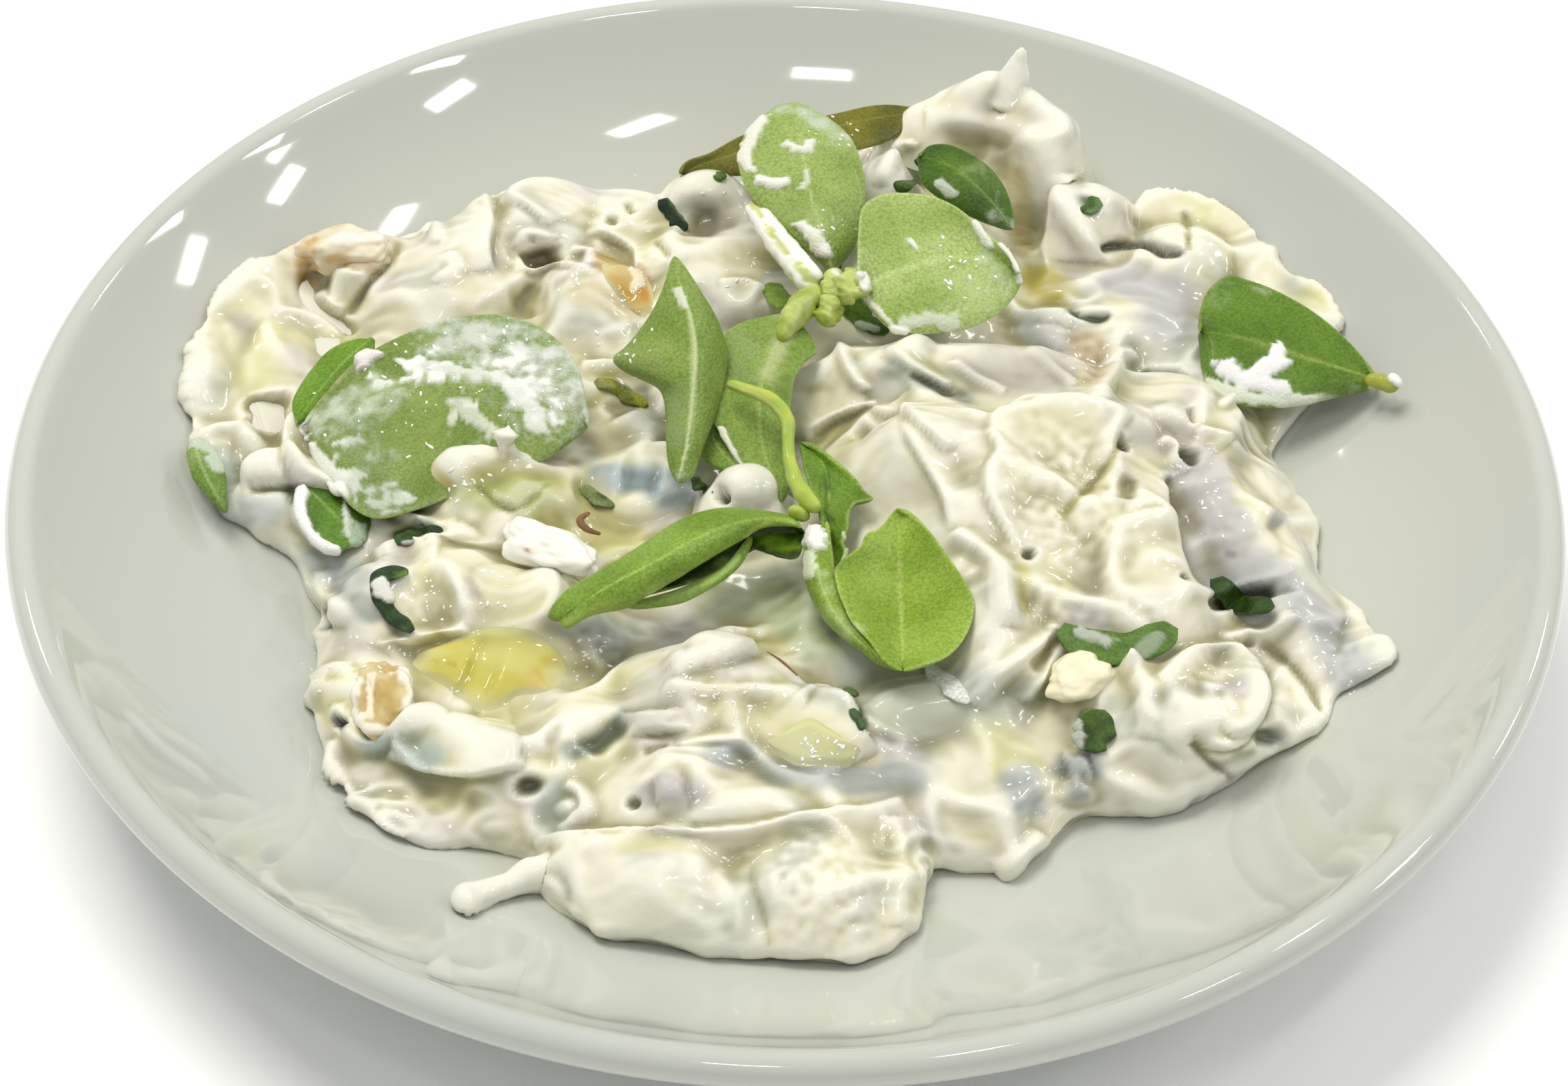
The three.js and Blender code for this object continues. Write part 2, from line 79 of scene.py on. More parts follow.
# %% Camera
EYE = Vector((-0.1246, -298.206, 303.483))
ELEVATION = 44.7253
ROLL = 1.78315
camera = bpy.data.objects.new("camera", bpy.data.cameras.new("camera"))
camera.data.lens = 80.685
camera.data.sensor_width = 36
camera.data.clip_start = 0.01
camera.matrix_world = (
    Matrix.Translation(EYE * MM)
    @ Matrix.Rotation(math.radians(90 - ELEVATION), 4, "X")
    @ Matrix.Rotation(math.radians(ROLL), 4, "Z")
)
bpy.context.scene.collection.objects.link(camera)
bpy.context.scene.camera = camera

# %% [markdown]
# Small things are placed where they are seen. `SEEN_LEVEL` is the height of a level
# sheet through the middle of the food: a place on that sheet names a sight line from the
# eye, and the thing lands where the line first meets what carries it, or lies where the
# line reaches a stated height.

# %% Seen places and true places
SEEN_LEVEL = 13.0


def land(tree, across, up):
    """Point and normal where the sight line through a seen place first meets a surface."""
    sight = (Vector((across, up, SEEN_LEVEL)) - EYE).normalized()
    point, normal, _, _ = tree.ray_cast(EYE, sight)
    return point, normal


def true_places(seen, z):
    """Where the sight lines through seen places reach the heights z."""
    eye = np.array(EYE)
    scale = (eye[2] - z) / (eye[2] - SEEN_LEVEL)
    return np.column_stack([eye[:2] + (seen - eye[:2]) * scale[:, None], z])


def seen_places(places):
    """Where the sight lines through true places cross the level sheet."""
    eye = np.array(EYE)
    scale = (eye[2] - SEEN_LEVEL) / (eye[2] - places[:, 2])
    return eye[:2] + (places[:, :2] - eye[:2]) * scale[:, None]


# %% [markdown]
# The edge of a leaf or the stroke of a spoon is a smooth curve through a few given places.
# Smooth noise stands for what a hand and a spoon leave uneven.

# %% Curves and noise
def curve_through(points, count):
    """`count` evenly spaced points on a smooth curve through the given ones."""
    given = np.array(points, float)
    if len(given) == 1:
        return np.repeat(given, count, axis=0)
    padded = np.vstack([2 * given[0] - given[1], given, 2 * given[-1] - given[-2]])
    fine = []
    steps = np.linspace(0, 1, 24, endpoint=False)[:, None]
    for a, b, c, d in zip(padded, padded[1:], padded[2:], padded[3:]):
        fine.append(0.5 * (2 * b + (c - a) * steps + (2 * a - 5 * b + 4 * c - d) * steps**2
                           + (3 * b - a - 3 * c + d) * steps**3))
    fine = np.vstack(fine + [given[-1:]])
    length = np.concatenate([[0], np.cumsum(np.linalg.norm(np.diff(fine, axis=0), axis=1))])
    wanted = np.linspace(0, length[-1], count)
    return np.stack([np.interp(wanted, length, fine[:, k]) for k in range(given.shape[1])], 1)


def noise_at(points, size, seed=0):
    """Smooth noise from -1 to 1 at points; `size` is that of its waves."""
    shift = Vector((seed * 17.3, seed * 5.1, seed * 9.7))
    return np.array([noise.noise(Vector(point) / size + shift) for point in points])


def smooth_step(low, high, value):
    share = np.clip((value - low) / (high - low), 0, 1)
    return share * share * (3 - 2 * share)


# %% [markdown]
# Every piece is made as a bmesh, where each point can be read and moved, and becomes an
# object once it is done. It rides on the dish, takes its finish, and hides the solid it
# stands for.

# %% Meshes in and out
def places_of(verts):
    return np.array([vert.co for vert in verts])


def move_to(verts, places):
    for vert, place in zip(verts, places):
        vert.co = place


def normals_of(bm):
    bm.normal_update()
    return np.array([vert.normal for vert in bm.verts])


def layer_of(bm, name):
    layer = bm.verts.layers.float[name]
    return np.array([vert[layer] for vert in bm.verts])


def soften(bm, factor, rounds=1):
    for _ in range(rounds):
        bmesh.ops.smooth_vert(bm, verts=bm.verts, factor=factor, use_axis_x=True,
                              use_axis_y=True, use_axis_z=True)


def make_object(bm, name, replaced, material):
    """Turns a bmesh in millimetres into a piece that rides on the dish."""
    bmesh.ops.scale(bm, vec=(MM, MM, MM), verts=bm.verts)
    mesh = bpy.data.meshes.new(name)
    bm.to_mesh(mesh)
    bm.free()
    for polygon in mesh.polygons:
        polygon.use_smooth = True
    piece = bpy.data.objects.new(name, mesh)
    bpy.context.scene.collection.objects.link(piece)
    mesh.materials.append(material)
    piece["made_here"] = True
    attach(piece, "root")
    if replaced:
        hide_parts(*replaced)
    return piece


# %% [markdown]
# Colours are named as they look on a screen and turned into the amounts of light that the
# shader wants. Each finish is a small tree of nodes, grown in the piece's own coordinates,
# so its grain keeps its real size.

# %% Colours and nodes
def colour(hex_code):
    """An sRGB hex colour as the linear numbers that the shader wants."""
    parts = [int(hex_code[k:k + 2], 16) / 255 for k in (1, 3, 5)]
    linear = [p / 12.92 if p <= 0.04045 else ((p + 0.055) / 1.055) ** 2.4 for p in parts]
    return (*linear, 1.0)


def light_of(hex_code):
    return np.array(colour(hex_code)[:3])


def node(tree, kind, sockets=None, **settings):
    """Adds a node with its settings, and links or sets its sockets."""
    made = tree.nodes.new("ShaderNode" + kind)
    for name, value in settings.items():
        setattr(made, name, value)
    for name, value in (sockets or {}).items():
        if isinstance(value, bpy.types.NodeSocket):
            tree.links.new(value, made.inputs[name])
        else:
            made.inputs[name].default_value = value
    return made


def mixed(tree, share, first, second, **settings):
    made = node(tree, "Mix", {0: share, 6: first, 7: second}, data_type="RGBA", **settings)
    return made.outputs[2]


def grain(tree, place, waves, detail=2.0):
    """Cloudy grain with about so many waves in a metre."""
    return node(tree, "TexNoise", {"Vector": place, "Scale": waves, "Detail": detail}).outputs[0]


def relief(tree, height, strength, depth):
    made = node(tree, "Bump", {"Height": height, "Strength": strength, "Distance": depth})
    return made.outputs[0]


def new_material(name):
    """A material, its empty tree and its piece's own coordinates."""
    material = bpy.data.materials.new(name)
    material.use_nodes = True
    tree = material.node_tree
    tree.nodes.clear()
    return material, tree, node(tree, "TexCoord").outputs["Object"]


def finish_material(tree, sockets):
    shader = node(tree, "BsdfPrincipled", sockets)
    node(tree, "OutputMaterial", {"Surface": shader.outputs["BSDF"]})


# %% [markdown]
# The dish stands on a plain white table top. The light comes mostly from above, behind
# and left, from a wide soft source, with an even glow from all round. A row of small
# ceiling lamps adds the short bright bars that a wet glaze throws back.

# %% Floor
def white_laminate():
    """A matt white board with a faint cloudiness, which gives the eye a plain pale ground."""
    material, tree, place = new_material("matt_white_laminate")
    tint = mixed(tree, grain(tree, place, 60.0, 3.0), colour("#fcfcfb"), colour("#ffffff"))
    finish_material(tree, {"Base Color": tint, "Roughness": 0.8})
    return material


def white_table():
    bm = bmesh.new()
    bmesh.ops.create_grid(bm, x_segments=8, y_segments=8, size=2.5)
    mesh = bpy.data.meshes.new("floor")
    bm.to_mesh(mesh)
    bm.free()
    mesh.materials.append(white_laminate())
    floor = bpy.data.objects.new("floor", mesh)
    bpy.context.scene.collection.objects.link(floor)


white_table()

# %% Light
KEY_PLACE, KEY_SIZE, KEY_WATTS = (-0.32, 0.32, 1.1), (0.6, 0.5), 9.5
LAMP_SIZE, LAMP_WATTS = (0.13, 0.055), 0.55
LAMPS = [(1.01, 0.0, 0.75), (0.95, 0.11, 0.83), (0.63, 0.2, 1.11), (0.75, -0.31, 0.97),
         (0.98, 0.41, 0.68), (0.3, -0.22, 1.24), (-0.05, -0.53, 1.17), (0.74, 0.67, 0.8),
         (-0.6, 0.7, 0.9)]
GLOW = 0.56


def soft_light(name, place, size, power, tint, mirrored):
    """A rectangle of light that faces the dish. Only a mirrored one shows in the glaze."""
    lamp = bpy.data.lights.new(name, "AREA")
    lamp.shape = "RECTANGLE"
    lamp.size, lamp.size_y = size
    lamp.energy = power
    lamp.color = colour(tint)[:3]
    holder = bpy.data.objects.new(name, lamp)
    facing = Vector(place).to_track_quat("Z", "Y").to_matrix().to_4x4()
    holder.matrix_world = Matrix.Translation(place) @ facing
    holder.visible_glossy = mirrored
    bpy.context.scene.collection.objects.link(holder)


soft_light("key", KEY_PLACE, KEY_SIZE, KEY_WATTS, "#fffcf4", mirrored=False)
for number, spot in enumerate(LAMPS):
    soft_light(f"ceiling_{number}", spot, LAMP_SIZE, LAMP_WATTS, "#fffdf8", mirrored=True)
world = bpy.data.worlds.new("studio")
world.use_nodes = True
world.node_tree.nodes["Background"].inputs["Color"].default_value = colour("#f4f6f8")
world.node_tree.nodes["Background"].inputs["Strength"].default_value = GLOW
bpy.context.scene.world = world
bpy.context.scene.view_settings.view_transform = "Standard"

# %% [markdown]
# The dish is thrown or pressed porcelain, so it is round: one profile turned through a
# full circle. The floor runs flat to 40 mm and then curves up ever more steeply to a lip
# that is a half round. It stands on a foot ring with a recess inside.

# %% Dish profile
DISH = {"radius": 90, "height": 24, "lip": 2, "floor": 5, "flat": 40, "power": 2.8,
        "lean": 48, "foot_outer": 50, "foot_inner": 45, "recess": 2}
lean = math.radians(DISH["lean"])
WALL_THICK = 2 * DISH["lip"]
LIP_X = DISH["radius"] - DISH["lip"]
LIP_Z = DISH["height"] - DISH["lip"]
WALL_X = LIP_X - DISH["lip"] * math.sin(lean)
WALL_Z = LIP_Z + DISH["lip"] * math.cos(lean)


def dish_height(radius):
    """Height of the dish's inner face at a distance from its centre."""
    share = np.maximum(0, radius - DISH["flat"]) / (WALL_X - DISH["flat"])
    return DISH["floor"] + (WALL_Z - DISH["floor"]) * share ** DISH["power"]


def foot_profile():
    """The recess, the rounded foot ring and the start of the wall, from the middle out."""
    inner, outer, recess = DISH["foot_inner"], DISH["foot_outer"], DISH["recess"]
    return [(0, recess), (inner - 1.4, recess), (inner - 0.5, 1.2), (inner, 0.25),
            (inner + 0.4, 0), (outer - 0.5, 0), (outer, 0.3), (outer + 0.5, 0.9),
            (outer + 2, float(dish_height(outer + 2)) - 3.9)]


def dish_profile():
    points = foot_profile()
    for radius in np.linspace(DISH["foot_outer"] + 5, WALL_X, 30):
        slope = (dish_height(radius + 0.1) - dish_height(radius - 0.1)) / 0.2
        away = Vector((slope, -1)).normalized() * WALL_THICK
        points.append((radius + away.x, float(dish_height(radius)) + away.y))
    for k in range(1, 12):
        angle = lean - math.pi / 2 + math.pi * k / 12
        points.append((LIP_X + DISH["lip"] * math.cos(angle),
                       LIP_Z + DISH["lip"] * math.sin(angle)))
    for radius in np.linspace(WALL_X, DISH["flat"], 40):
        points.append((radius, float(dish_height(radius))))
    return points + [(20, DISH["floor"]), (0, DISH["floor"])]


# %% [markdown]
# Porcelain is white clay under clear glaze, fired to glass: a pale body with a hard wet
# shine. The glaze pools unevenly, so its reflections waver over some 20 mm, which a low
# broad bump gives without changing the turned shape.

# %% Dish
def glazed_porcelain():
    """A pale, cool body with a hard wet shine that wavers a little."""
    material, tree, place = new_material("glazed_porcelain")
    body = mixed(tree, grain(tree, place, 22.0), colour("#b9beb7"), colour("#c5c5b9"))
    finish_material(tree, {"Base Color": body, "Roughness": 0.06, "IOR": 1.52,
                           "Coat Weight": 0.5, "Coat Roughness": 0.03,
                           "Normal": relief(tree, grain(tree, place, 45.0, 1.0), 0.25, 0.0004)})
    return material


def make_dish():
    bm = bmesh.new()
    verts = [bm.verts.new((x, 0, z)) for x, z in dish_profile()]
    edges = [bm.edges.new(pair) for pair in zip(verts, verts[1:])]
    bmesh.ops.spin(bm, geom=verts + edges, cent=(0, 0, 0), axis=(0, 0, 1),
                   angle=2 * math.pi, steps=256, use_merge=True)
    bmesh.ops.remove_doubles(bm, verts=bm.verts, dist=0.001)
    bmesh.ops.recalc_face_normals(bm, faces=bm.faces)
    print("dish faces:", len(bm.faces))
    make_object(bm, "dish_glazed", ["dish"], glazed_porcelain())


make_dish()

# %% [markdown]
# The yogurt is one soft mass of rounded lobes. Its foot on the dish is a drawn line,
# and every lobe is named by its place, its crown's height, its two radii, how far it falls
# off at a radius, and its turn in degrees.

# %% Foot line and lobes of the mass
FOOT_LINE = [
    (63.5, 5), (63.5, -3), (66, -8), (69, -15), (70.5, -21), (63.5, -23.5), (62, -28),
    (53, -35), (46, -39), (38, -40), (34, -41), (28, -47.5), (17, -48), (16, -56),
    (9, -64), (-1, -63), (-15, -62), (-23, -57), (-27, -49), (-35, -48), (-43, -48),
    (-50, -39), (-53.5, -30), (-53.5, -18), (-58.5, -4), (-67, 1), (-72, 9), (-74, 22),
    (-71, 34), (-62, 46), (-51, 50), (-42, 57), (-34, 61), (-24, 59), (-14, 62), (0, 68),
    (17, 74), (28, 74), (36, 68), (42, 60), (50, 60), (58, 54), (62, 46), (68, 40),
    (68, 31), (64, 24), (60, 18), (62.5, 12),
]
LOBES = {
    "bed_left": (-36, 12, 13, 40, 42, 6, 0), "bed_right": (28, 0, 16, 40, 46, 8, 0),
    "bed_front": (-8, -34, 12, 44, 30, 6, 0), "bed_back": (4, 46, 16, 50, 28, 8, 0),
    "left_shoulder": (-65.5, 26.5, 14.5, 7, 14, 5, -16),
    "amber_lobe": (-53.5, 41.5, 17, 9, 8, 6, 0),
    "back_left_outer": (-42, 40, 19, 9, 15, 6, -18),
    "back_left_top": (-32.5, 49, 19.5, 9, 9, 6, 0),
    "back_middle": (-21.5, 50, 18, 9, 9, 6, 0),
    "back_peak": (-11.5, 52.5, 20, 6, 6, 6, 0),
    "back_smooth": (-11, 40.5, 18.5, 11, 10, 6, 0),
    "oil_slope": (-24.5, 35.5, 17, 9, 9, 5, 0),
    "leaf_bed_left": (-40.5, 16.5, 16, 20, 14, 5, 8),
    "left_edge": (-67, 10, 12, 7, 7, 5, 0), "left_curl": (-59, 4, 14, 9, 5, 6, 20),
    "left_low": (-60.5, -2.5, 9.5, 7, 7, 5, 0), "left_ridge": (-35.5, 2.5, 19, 11, 4, 7, 8),
    "olive_mound": (-32.5, -1, 17, 10, 7, 6, 0), "blue_pool": (-17, 4.5, 15.5, 9, 8, 5, 0),
    "centre_curl": (-5, -0.5, 17.5, 5, 5, 5, 0), "cream_left": (-31.5, -16, 17, 14, 7, 6, -18),
    "left_lobe": (-44.5, -16, 15, 8, 8, 6, 0), "left_side": (-52.5, -14.5, 10.5, 7, 13, 5, 12),
    "front_left_middle": (-47, -30, 13, 8, 10, 5, 0),
    "front_left_low": (-43.5, -40, 9.5, 10, 10, 5, 0),
    "front_left_toe": (-33.5, -46.5, 9, 9, 6, 4, -10),
    "front_left_ridge": (-33, -38.5, 14.5, 14, 5, 6, -18),
    "oil_bed": (-33, -26, 13, 12, 8, 5, 0), "front_grey": (-20, -35.5, 14.5, 10, 9, 5, 0),
    "front_cream": (-8, -32, 18.5, 11, 10, 6, 0),
    "front_cream_right": (3, -36.5, 15.5, 11, 7, 5, 0),
    "front_middle": (-10, -45, 16.5, 12, 8, 6, 0), "front_flat": (3, -45, 14, 13, 7, 5, 0),
    "front_lobe_left": (-13, -57, 14.5, 14, 11, 6, 0),
    "front_lobe_right": (5, -57, 14.5, 11, 12, 6, 0),
    "right_toe": (22.5, -43, 9.5, 11, 8, 4, 0), "right_low": (22, -38.5, 12.5, 12, 8, 5, 0),
    "right_dollop": (46.5, -31, 17, 14, 12, 8, 0), "right_skirt": (43.5, -38, 10.5, 11, 7, 5, 0),
    "right_finger": (62, -20, 12, 10, 7, 6, -32), "right_bulge": (60, -11.5, 13.5, 8, 10, 6, 0),
    "right_long": (53, -2.5, 18.5, 7, 18, 7, 26), "right_edge": (58, 8, 13, 7, 10, 6, 0),
    "right_upper": (46, 15, 19.5, 9, 9, 6, 0), "right_leaf_bed": (60, 30, 12, 16, 12, 5, 0),
    "right_peak_bed": (62, 41, 13, 7, 5, 5, 0), "dome": (50, 48.5, 17.5, 10, 9, 7, 0),
    "dome_inner": (42.5, 39.5, 16, 11, 10, 5, 0), "right_valley": (36.5, 35, 15.5, 11, 10, 5, 0),
    "high_mass": (26, -2.5, 23, 18, 19, 8, 0), "high_top": (19, 2.5, 24.5, 10, 7, 5, 0),
    "high_top_right": (33.5, 5.5, 23.5, 11, 9, 5, 0), "high_right": (41, -8, 21, 9, 16, 7, 10),
    "top_smear": (21.5, 19.5, 22.5, 18, 6, 5, 0), "top_valley": (27, 12, 21.5, 16, 8, 4, 0),
    "crater_rim": (24.5, -19, 19, 6, 15, 6, -8), "right_chunk": (36.5, -18, 18, 9, 7, 6, 0),
    "right_chunk_low": (38.5, -26.5, 15.5, 9, 6, 5, 0),
    "crater_lip": (16, -30.5, 15.5, 11, 5, 6, 10), "leaf_bed_top": (11.5, 41.5, 20, 16, 15, 6, 0),
    "curl_root": (17, 66, 23, 7, 7, 8, 0), "cream_peak": (11.5, 51.5, 25, 5, 7, 7, 0),
    "curl_top": (25, 68, 27.5, 9, 6, 9, 10), "curl_shoulder": (33, 62, 26, 6, 8, 9, -20),
    "curl_bend": (29.5, 65.5, 26.8, 7, 6, 8, -40), "curl_side": (38, 52, 21, 6, 10, 8, -8),
}
LOBE_POWER = 2.2
BLEND = 1.4


def mass_height(x, y):
    """Height of the lobes at places on the dish, run softly into one another."""
    total = np.zeros_like(x)
    for cx, cy, crown, rx, ry, fall, turn in LOBES.values():
        angle = math.radians(turn)
        along = ((x - cx) * math.cos(angle) + (y - cy) * math.sin(angle)) / rx
        across = ((y - cy) * math.cos(angle) - (x - cx) * math.sin(angle)) / ry
        total += np.exp((crown - fall * np.hypot(along, across) ** LOBE_POWER) / BLEND)
    return BLEND * np.log(total)


# %% [markdown]
# A ball is spread over the foot line, so that the mass is closed. Its upper rings become
# the top, closest together at the steep edge, and its last rings close the underside.

# %% Mass as a ball spread over the foot line
TOP_SHARE, UNDER_SHARE = 0.9, 0.1  # of the rings, from the crown down
RING_POWER = 0.72
FOOT_INSET = 0.97
EDGE_START, EDGE_BAND = 0.9, 0.1  # where the top rounds over to the foot
EDGE_DROP = 0.96
THINNEST = 3


def spread_mass(around=420, rings=170):
    outline = curve_through(FOOT_LINE + FOOT_LINE[:1], around + 1)[:-1]
    bm = bmesh.new()
    bmesh.ops.create_uvsphere(bm, u_segments=around, v_segments=rings, radius=1)
    spots = places_of(bm.verts)
    turn = np.arctan2(spots[:, 1], spots[:, 0])
    share = np.arccos(np.clip(spots[:, 2], -1, 1)) / math.pi  # 0 on top, 1 below
    outline_turn = np.arctan2(outline[:, 1], outline[:, 0])
    reach = np.hypot(outline[:, 0], outline[:, 1])
    order = np.argsort(outline_turn)
    limit = np.interp(turn, outline_turn[order], reach[order], period=2 * math.pi)
    top = share <= TOP_SHARE
    radial = np.where(top, (np.clip(share / TOP_SHARE, 0, 1)) ** RING_POWER,
                      FOOT_INSET * (1 - share) / UNDER_SHARE)
    x = np.cos(turn) * limit * radial
    y = np.sin(turn) * limit * radial
    floor = dish_height(np.hypot(x, y))
    edge = np.maximum(0, (radial - EDGE_START) / EDGE_BAND)
    rise = np.maximum(THINNEST, mass_height(x, y) - floor) * np.sqrt(1 - EDGE_DROP * edge ** 2)
    z = np.where(top, floor + rise, floor - 1)
    move_to(bm.verts, np.stack([x, y, z], 1))
    bmesh.ops.recalc_face_normals(bm, faces=bm.faces)
    return bm


# %% [markdown]
# Where a spoon lets go, it pulls out spikes and a drip. Each is a cone with a ball on its
# tip, named by its foot, its tip and the radii at both. A remesh joins them with the mass
# and gives it even little faces, so that folds can be pressed into it.

# %% Spikes, the drip and even faces
PEAKS = [
    ((27, 66, 24), (28.6, 68.4, 30.3), (3.2, 0.6)),
    ((63, 38, 10), (65, 39.5, 15.8), (2.4, 0.5)),
    ((-33, 2, 16), (-33, 5, 21.8), (2, 0.4)),
    ((-24, -51, 8), (-28.5, -54.6, 8.6), (1.4, 0.9)),
    ((-28.5, -54.6, 8.6), (-33, -58, 9.2), (0.9, 1.5)),
]
VOXEL = 0.46


def add_peak(bm, foot, tip, radii):
    axis = Vector(tip) - Vector(foot)
    place = (Matrix.Translation((Vector(tip) + Vector(foot)) / 2)
             @ axis.to_track_quat("Z", "Y").to_matrix().to_4x4())
    bmesh.ops.create_cone(bm, cap_ends=True, segments=24, radius1=radii[0], radius2=radii[1],
                          depth=axis.length, matrix=place)
    bmesh.ops.create_icosphere(bm, subdivisions=3, radius=radii[1],
                               matrix=Matrix.Translation(tip))


def remeshed(bm, voxel):
    mesh = bpy.data.meshes.new("to_remesh")
    bm.to_mesh(mesh)
    bm.free()
    holder = bpy.data.objects.new("to_remesh", mesh)
    bpy.context.scene.collection.objects.link(holder)
    modifier = holder.modifiers.new("even", "REMESH")
    modifier.mode = "VOXEL"
    modifier.voxel_size = voxel
    depsgraph = bpy.context.evaluated_depsgraph_get()
    even = bpy.data.meshes.new_from_object(holder.evaluated_get(depsgraph))
    fresh = bmesh.new()
    fresh.from_mesh(even)
    bpy.data.objects.remove(holder)
    bpy.data.meshes.remove(mesh)
    bpy.data.meshes.remove(even)
    return fresh


mass = spread_mass()
for foot, tip, radii in PEAKS:
    add_peak(mass, foot, tip, radii)
mass = remeshed(mass, VOXEL)
print("faces of the mass:", len(mass.faces))

# %% [markdown]
# What lies a little under the dish's surface is never seen. It is cut off and closed with
# one face, which leaves the faces for the folds.

# %% Close the mass under the dish's surface
SUNK = 0.35


def cut_underside(bm):
    places = places_of(bm.verts)
    hidden = places[:, 2] < dish_height(np.hypot(places[:, 0], places[:, 1])) - SUNK
    bm.verts.ensure_lookup_table()
    bmesh.ops.delete(bm, geom=[v for v, gone in zip(bm.verts, hidden) if gone],
                     context="VERTS")
    rim = [edge for edge in bm.edges if edge.is_boundary]
    bmesh.ops.holes_fill(bm, edges=rim, sides=0)
    soften(bm, 0.5, rounds=2)


cut_underside(mass)
print("faces of the mass after the cut:", len(mass.faces))

# %% [markdown]
# A spoon leaves folds, creases, lumps and little peaks. Each is a stroke, named by its
# kind, height, half width and the line where it is seen. It works only on the points of a
# skin that face the eye near that line, so that a stroke on a crest spares the hollow
# behind it.

# %% The skin of a piece, and what is near a line on it
class Skin:
    """The points of a surface, how each of them is seen, and the cream that clings to it."""

    def __init__(self, bm):
        self.tree = BVHTree.FromBMesh(bm)
        self.places = places_of(bm.verts)
        self.normals = normals_of(bm)
        self.seen = seen_places(self.places)
        self.wobble = noise_at(self.places, 2.6, 3)
        self.fleck = noise_at(self.places, 0.9, 7)
        self.film = np.zeros(len(self.places))
        self.veil = noise_at(self.places * (1, 1.6, 1), 3, 12)
        self.veil += 0.6 * noise_at(self.places, 1.1, 13)
        to_eye = np.array(EYE) - self.places
        to_eye /= np.linalg.norm(to_eye, axis=1)[:, None]
        self.faces_eye = smooth_step(-0.1, 0.2, (to_eye * self.normals).sum(1))

    def near(self, line, reach):
        """Points within reach of a line: their numbers, distance, side, share along it,
        and how much of a stroke they take, by their depth behind the line."""
        line = np.array(line, float)
        low, high = line.min(0) - reach, line.max(0) + reach
        chosen = np.flatnonzero(((self.seen > low) & (self.seen < high)).all(1))
        if len(line) > 1:
            line = curve_through(line, max(3, 4 * len(line)))
        landed = [land(self.tree, *spot)[0] for spot in line]
        heights = [point.z if point else SEEN_LEVEL for point in landed]
        spots = self.seen[chosen]
        best = np.full(len(chosen), 1e9)
        side = np.ones(len(chosen))
        share = np.full(len(chosen), 0.5)
        level = np.full(len(chosen), heights[0])
        for k in range(max(1, len(line) - 1)):
            after = min(k + 1, len(line) - 1)
            step = line[after] - line[k]
            t = np.clip((spots - line[k]) @ step / max(step @ step, 1e-9), 0, 1)
            away = spots - line[k] - t[:, None] * step
            distance = np.hypot(away[:, 0], away[:, 1])
            closer = distance < best
            best = np.where(closer, distance, best)
            turned = step[0] * away[:, 1] - step[1] * away[:, 0]
            side = np.where(closer, np.where(turned > 0, 1, -1), side)
            share = np.where(closer, (k + t) / max(1, len(line) - 1), share)
            level = np.where(closer, heights[k] + t * (heights[after] - heights[k]), level)
        same_depth = 1 - smooth_step(3.0, 5.0, np.abs(self.places[chosen, 2] - level))
        return chosen, best, side, share, same_depth * self.faces_eye[chosen]


# %% [markdown]
# A ridge or crease rises or sinks to both sides of its line. A fold rises on the left of
# its line and falls off sharply on the right, as a lip of cream does. Lumps and dents are
# round with uneven edges, and a peak is pointed.

# %% Press strokes into a skin
def stroke_shape(kind, distance, side, width, uneven):
    """How high each point near a stroke stands, as a share of the stroke's height."""
    if kind == "ridge":
        return np.exp(-(distance / width) ** 2)
    if kind == "crease":
        return -np.exp(-distance / (0.7 * width))
    if kind == "fold":
        signed = distance * side
        return smooth_step(-0.45, 0.45, signed) * np.exp(-np.maximum(signed, 0) / width)
    if kind == "lump":
        return 0.8 * (1 - smooth_step(0.1, 1.35, distance * uneven / width))
    if kind == "dent":
        return -(1 - smooth_step(0.2, 1.3, distance * uneven / width))
    return np.clip(1 - distance / width, 0, 1) ** 1.6  # a peak


def press_strokes(skin, strokes):
    """How far each point moves along its normal. Strokes run out softly at both ends."""
    lift = np.zeros(len(skin.places))
    for kind, height, width, line in strokes:
        chosen, distance, side, share, depth = skin.near(line, 3.2 * width + 1)
        ends = np.sqrt(np.clip(4.5 * np.minimum(share, 1 - share), 0, 1)) if len(line) > 1 else 1
        uneven = 1 + 0.3 * skin.wobble[chosen]
        lift[chosen] += height * depth * ends * stroke_shape(kind, distance, side, width, uneven)
    return lift


# %% [markdown]
# Colour goes on in the same way: soft-edged stains over a base, and painted shade in some
# hollows. Each point keeps its colour in an attribute, with how bare of cream it is as a
# fourth number, and the finish reads it from there.

# %% Stain and shade a skin and keep its colours
STAIN_DEPTH = 0.85


def stain_and_shade(skin, base, patches):
    tint = np.array(base, float)
    for hex_code, strength, width, line in patches:
        chosen, distance, _, _, depth = skin.near(line, 1.7 * width + 0.5)
        rough = distance * (1 + 0.35 * skin.wobble[chosen])
        cover = min(1, 1.2 * strength) * depth
        cover = cover * (1 - smooth_step(0.4 * width, 1.3 * width, rough))
        tint[chosen] += (STAIN_DEPTH * light_of(hex_code) - tint[chosen]) * cover[:, None]
    return tint


def keep_tint(piece, tint, bare=1.0):
    layer = piece.data.color_attributes.new("tint", "FLOAT_COLOR", "POINT")
    full = np.ones((len(tint), 4))
    full[:, :3] = tint
    full[:, 3] = bare
    layer.data.foreach_set("color", full.ravel())


# %% [markdown]
# These are the folds, lumps and hollows that make this helping what it is, region by
# region. A smaller spoonful or another turn of the spoon would change a row here, and
# nothing else.

